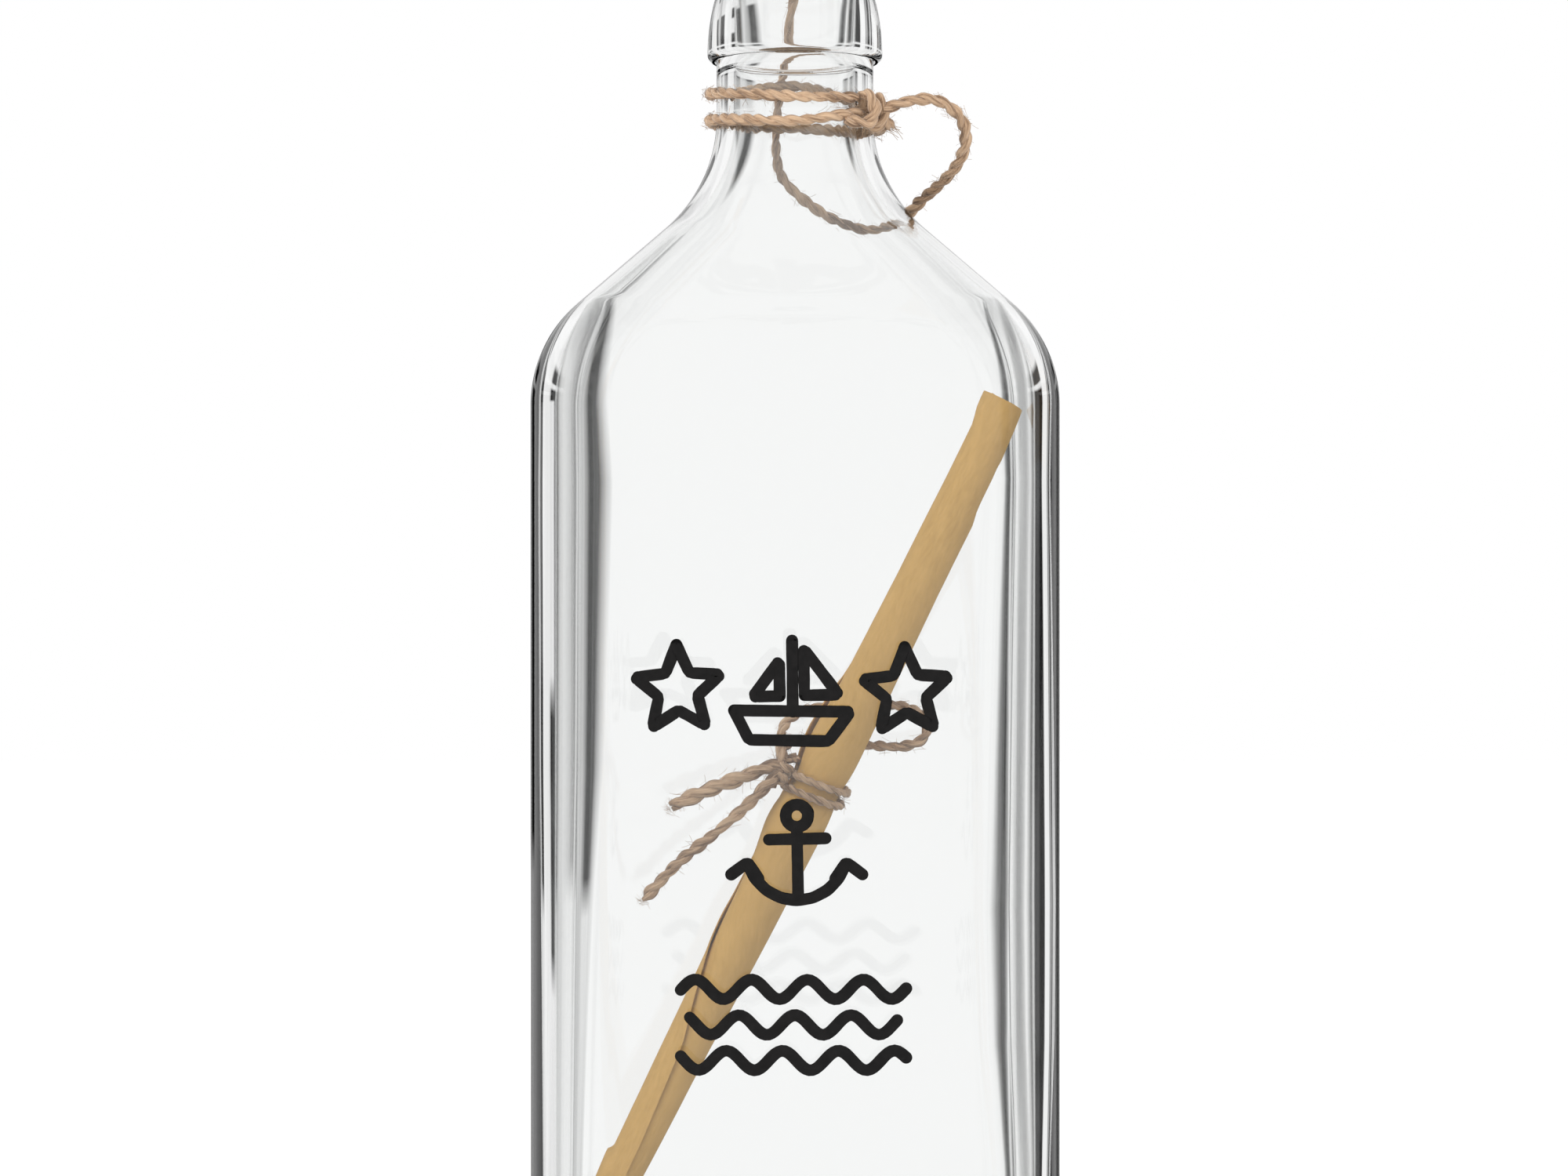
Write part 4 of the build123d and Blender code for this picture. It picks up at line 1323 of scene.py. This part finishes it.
@dataclass
class Studio:
    """The camera, the lamps, the floor and the surroundings that the glass shows.

    The camera and the floor are in millimetres; a lamp's place and size are in metres, its power in
    watts. A card is an azimuth in degrees, 0 behind the bottle, and how white it is. A window is a
    light gap in the dark cards: its azimuths and its heights, each from and to.
    """

    lens: float = 84.0
    clip: tuple = (0.01, 50)
    camera_place: tuple = (-1.68, -560.0, 112.1)
    lamps: tuple = (("key", (-0.55, -0.60, 0.80), 0.7, 6.0), ("fill", (0.65, -0.55, 0.40), 0.6, 1.6))
    lamp_aim: tuple = (0, 0, 0.1)
    floor_low: tuple = (-1500.0, -1200.0)
    floor_high: tuple = (1500.0, 1800.0)
    fill: float = 0.78
    dark: float = 0.012
    neck_gap: float = 0.88
    gap_rises: tuple = ((0.106, 0.0), (0.118, 1.0), (0.132, 1.0), (0.14, 0.0), (0.19, 0.0), (0.22, 1.0))
    sky_rises: tuple = ((0.45, 0.0), (0.75, 1.0))
    cards: tuple = (
        (-128.5, 1), (-126, 0.08), (-117, 1), (-83.5, 1), (-81, 0), (-59, 0), (-55.5, 0.9), (-38, 1),
        (-36.2, 0), (-26, 0), (-21.5, 0.72), (-16, 0.45), (-14, 0), (-10.8, 0), (-9, 1), (14, 1),
        (16, 0), (19, 0), (21.2, 0.95), (25.5, 0), (29.5, 0), (33.5, 0.65), (36, 0), (38.3, 1),
        (51.5, 1), (53.5, 0), (79, 0), (82.5, 1), (109.5, 1), (113.5, 0), (122, 0), (128, 1))
    windows: tuple = (
        (-66.0, -55.0, -0.022, 0.06), (-71.0, -55.0, -0.2, -0.083), (-38.0, -25.0, -0.2, -0.072),
        (-16.5, -9.5, -0.2, -0.072))
    window_edge: float = 1.5
    window_rise: float = 0.006
    window_white: float = 0.85

    def build(self) -> None:
        """Makes everything that isn't part of the object."""
        self._camera()
        self._world()
        self._floor()
        for lamp in self.lamps:
            self._lamp(*lamp)
        bpy.context.scene.view_settings.view_transform = "Standard"

    def _camera(self) -> None:
        """Places the photograph's camera, level with the middle of the body."""
        data = bpy.data.cameras.new("photo_camera")
        data.lens = self.lens
        data.clip_start, data.clip_end = self.clip
        camera = linked("photo_camera", data)
        camera.location = Vector(self.camera_place) * MM
        camera.rotation_euler = (QUARTER_TURN, 0, 0)
        bpy.context.scene.camera = camera

    def _lamp(self, name: str, place: tuple, size: float, power: float) -> None:
        """Adds a soft square lamp that faces the bottle and that the glass doesn't show."""
        data = bpy.data.lights.new(name, "AREA")
        data.size, data.energy = size, power
        lamp = linked(name, data)
        lamp.location = place
        lamp.rotation_euler = (Vector(self.lamp_aim) - lamp.location).to_track_quat("-Z", "Y").to_euler()
        lamp.visible_glossy = False
        lamp.visible_transmission = False

    def _world(self) -> None:
        """White for the camera, light grey for matt surfaces, and for the glass white with dark cards."""
        world = bpy.data.worlds.new("studio")
        bpy.context.scene.world = world
        world.use_nodes = True
        graph = Graph(world.node_tree)
        view = graph.add("ShaderNodeTexCoord").outputs["Generated"]
        east, north, rise = graph.add("ShaderNodeSeparateXYZ", {0: view}).outputs
        azimuth = graph.math("ARCTAN2", east, north)
        share = graph.math("ADD", graph.math("DIVIDE", azimuth, FULL_TURN), 0.5)
        cards = graph.ramp(share, tuple(
            (0.5 + angle / 360, self.dark + (1 - self.dark) * white) for angle, white in self.cards))
        gap = graph.math("MULTIPLY", graph.ramp(rise, self.gap_rises), self.neck_gap)
        white = graph.math("MAXIMUM", gap, graph.ramp(rise, self.sky_rises))
        for window in self.windows:
            white = graph.math("MAXIMUM", white, self._window(graph, share, rise, window))
        seen = graph.mix(white, cards, (1.0, 1.0, 1.0))
        ray = graph.add("ShaderNodeLightPath").outputs
        crossing = graph.math("MAXIMUM", ray["Is Glossy Ray"], ray["Is Transmission Ray"])
        lit = graph.mix(crossing, (self.fill, self.fill, self.fill), seen)
        colour = graph.mix(ray["Is Camera Ray"], lit, (1.0, 1.0, 1.0))
        background = graph.out("ShaderNodeBackground", {"Color": colour, "Strength": 1.0})
        graph.add("ShaderNodeOutputWorld", {"Surface": background})

    def _window(self, graph: Graph, share: NodeSocket, rise: NodeSocket,
                window: tuple) -> NodeSocket:
        """A light gap in the dark cards.

        Args:
            graph: the world's tree.
            share: the direction's azimuth, from 0 to 1 round the circle.
            rise: the direction's height.
            window: its azimuths in degrees and its heights, each from and to.

        Returns:
            How white the gap makes that direction.
        """
        left, right, low, high = window
        turn, lift = self.window_edge / 360, self.window_rise
        start, end = 0.5 + left / 360, 0.5 + right / 360
        white = graph.ramp(share, ((start - turn, 0.0), (start + turn, 1.0), (end - turn, 1.0),
                                   (end + turn, 0.0)))
        for dark, light in ((low - lift, low + lift), (high + lift, high - lift)):
            shown = graph.out("ShaderNodeMapRange", {"Value": rise, "From Min": dark, "From Max": light})
            white = graph.math("MULTIPLY", white, shown)
        return graph.math("MULTIPLY", white, self.window_white)

    def _floor(self) -> None:
        """A white table, which keeps the bottle's shadow; the glass shows the cards in its place."""
        (x0, y0), (x1, y1) = self.floor_low, self.floor_high
        corners = [(x * MM, y * MM, 0) for x, y in ((x0, y0), (x1, y0), (x1, y1), (x0, y1))]
        floor = add_object("table", new_mesh(corners, [(0, 1, 2, 3)]), TableWhite().build())
        floor.visible_glossy = False
        floor.visible_transmission = False


def main() -> None:
    """Builds the stage and the pieces."""
    logging.basicConfig(level=logging.INFO, format="%(message)s")
    Studio().build()
    flask, jute = GlassFlask(), JuteTwine().build()
    neck = NeckTwine(Twine(jute), flask)
    neck.loose()
    neck.turns()
    neck.knot()
    roll = PaperRoll(KraftPaper().build())
    roll.build()
    RollTwine(Twine(jute, tuft_length=0.8), roll).build()
    CorkStopper(NaturalCork().build()).build()
    flask.build(ClearGlass().build())
    PanelPrint(PrintInk().build(), flask).build()
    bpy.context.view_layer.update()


if __name__ == "__main__":
    main()
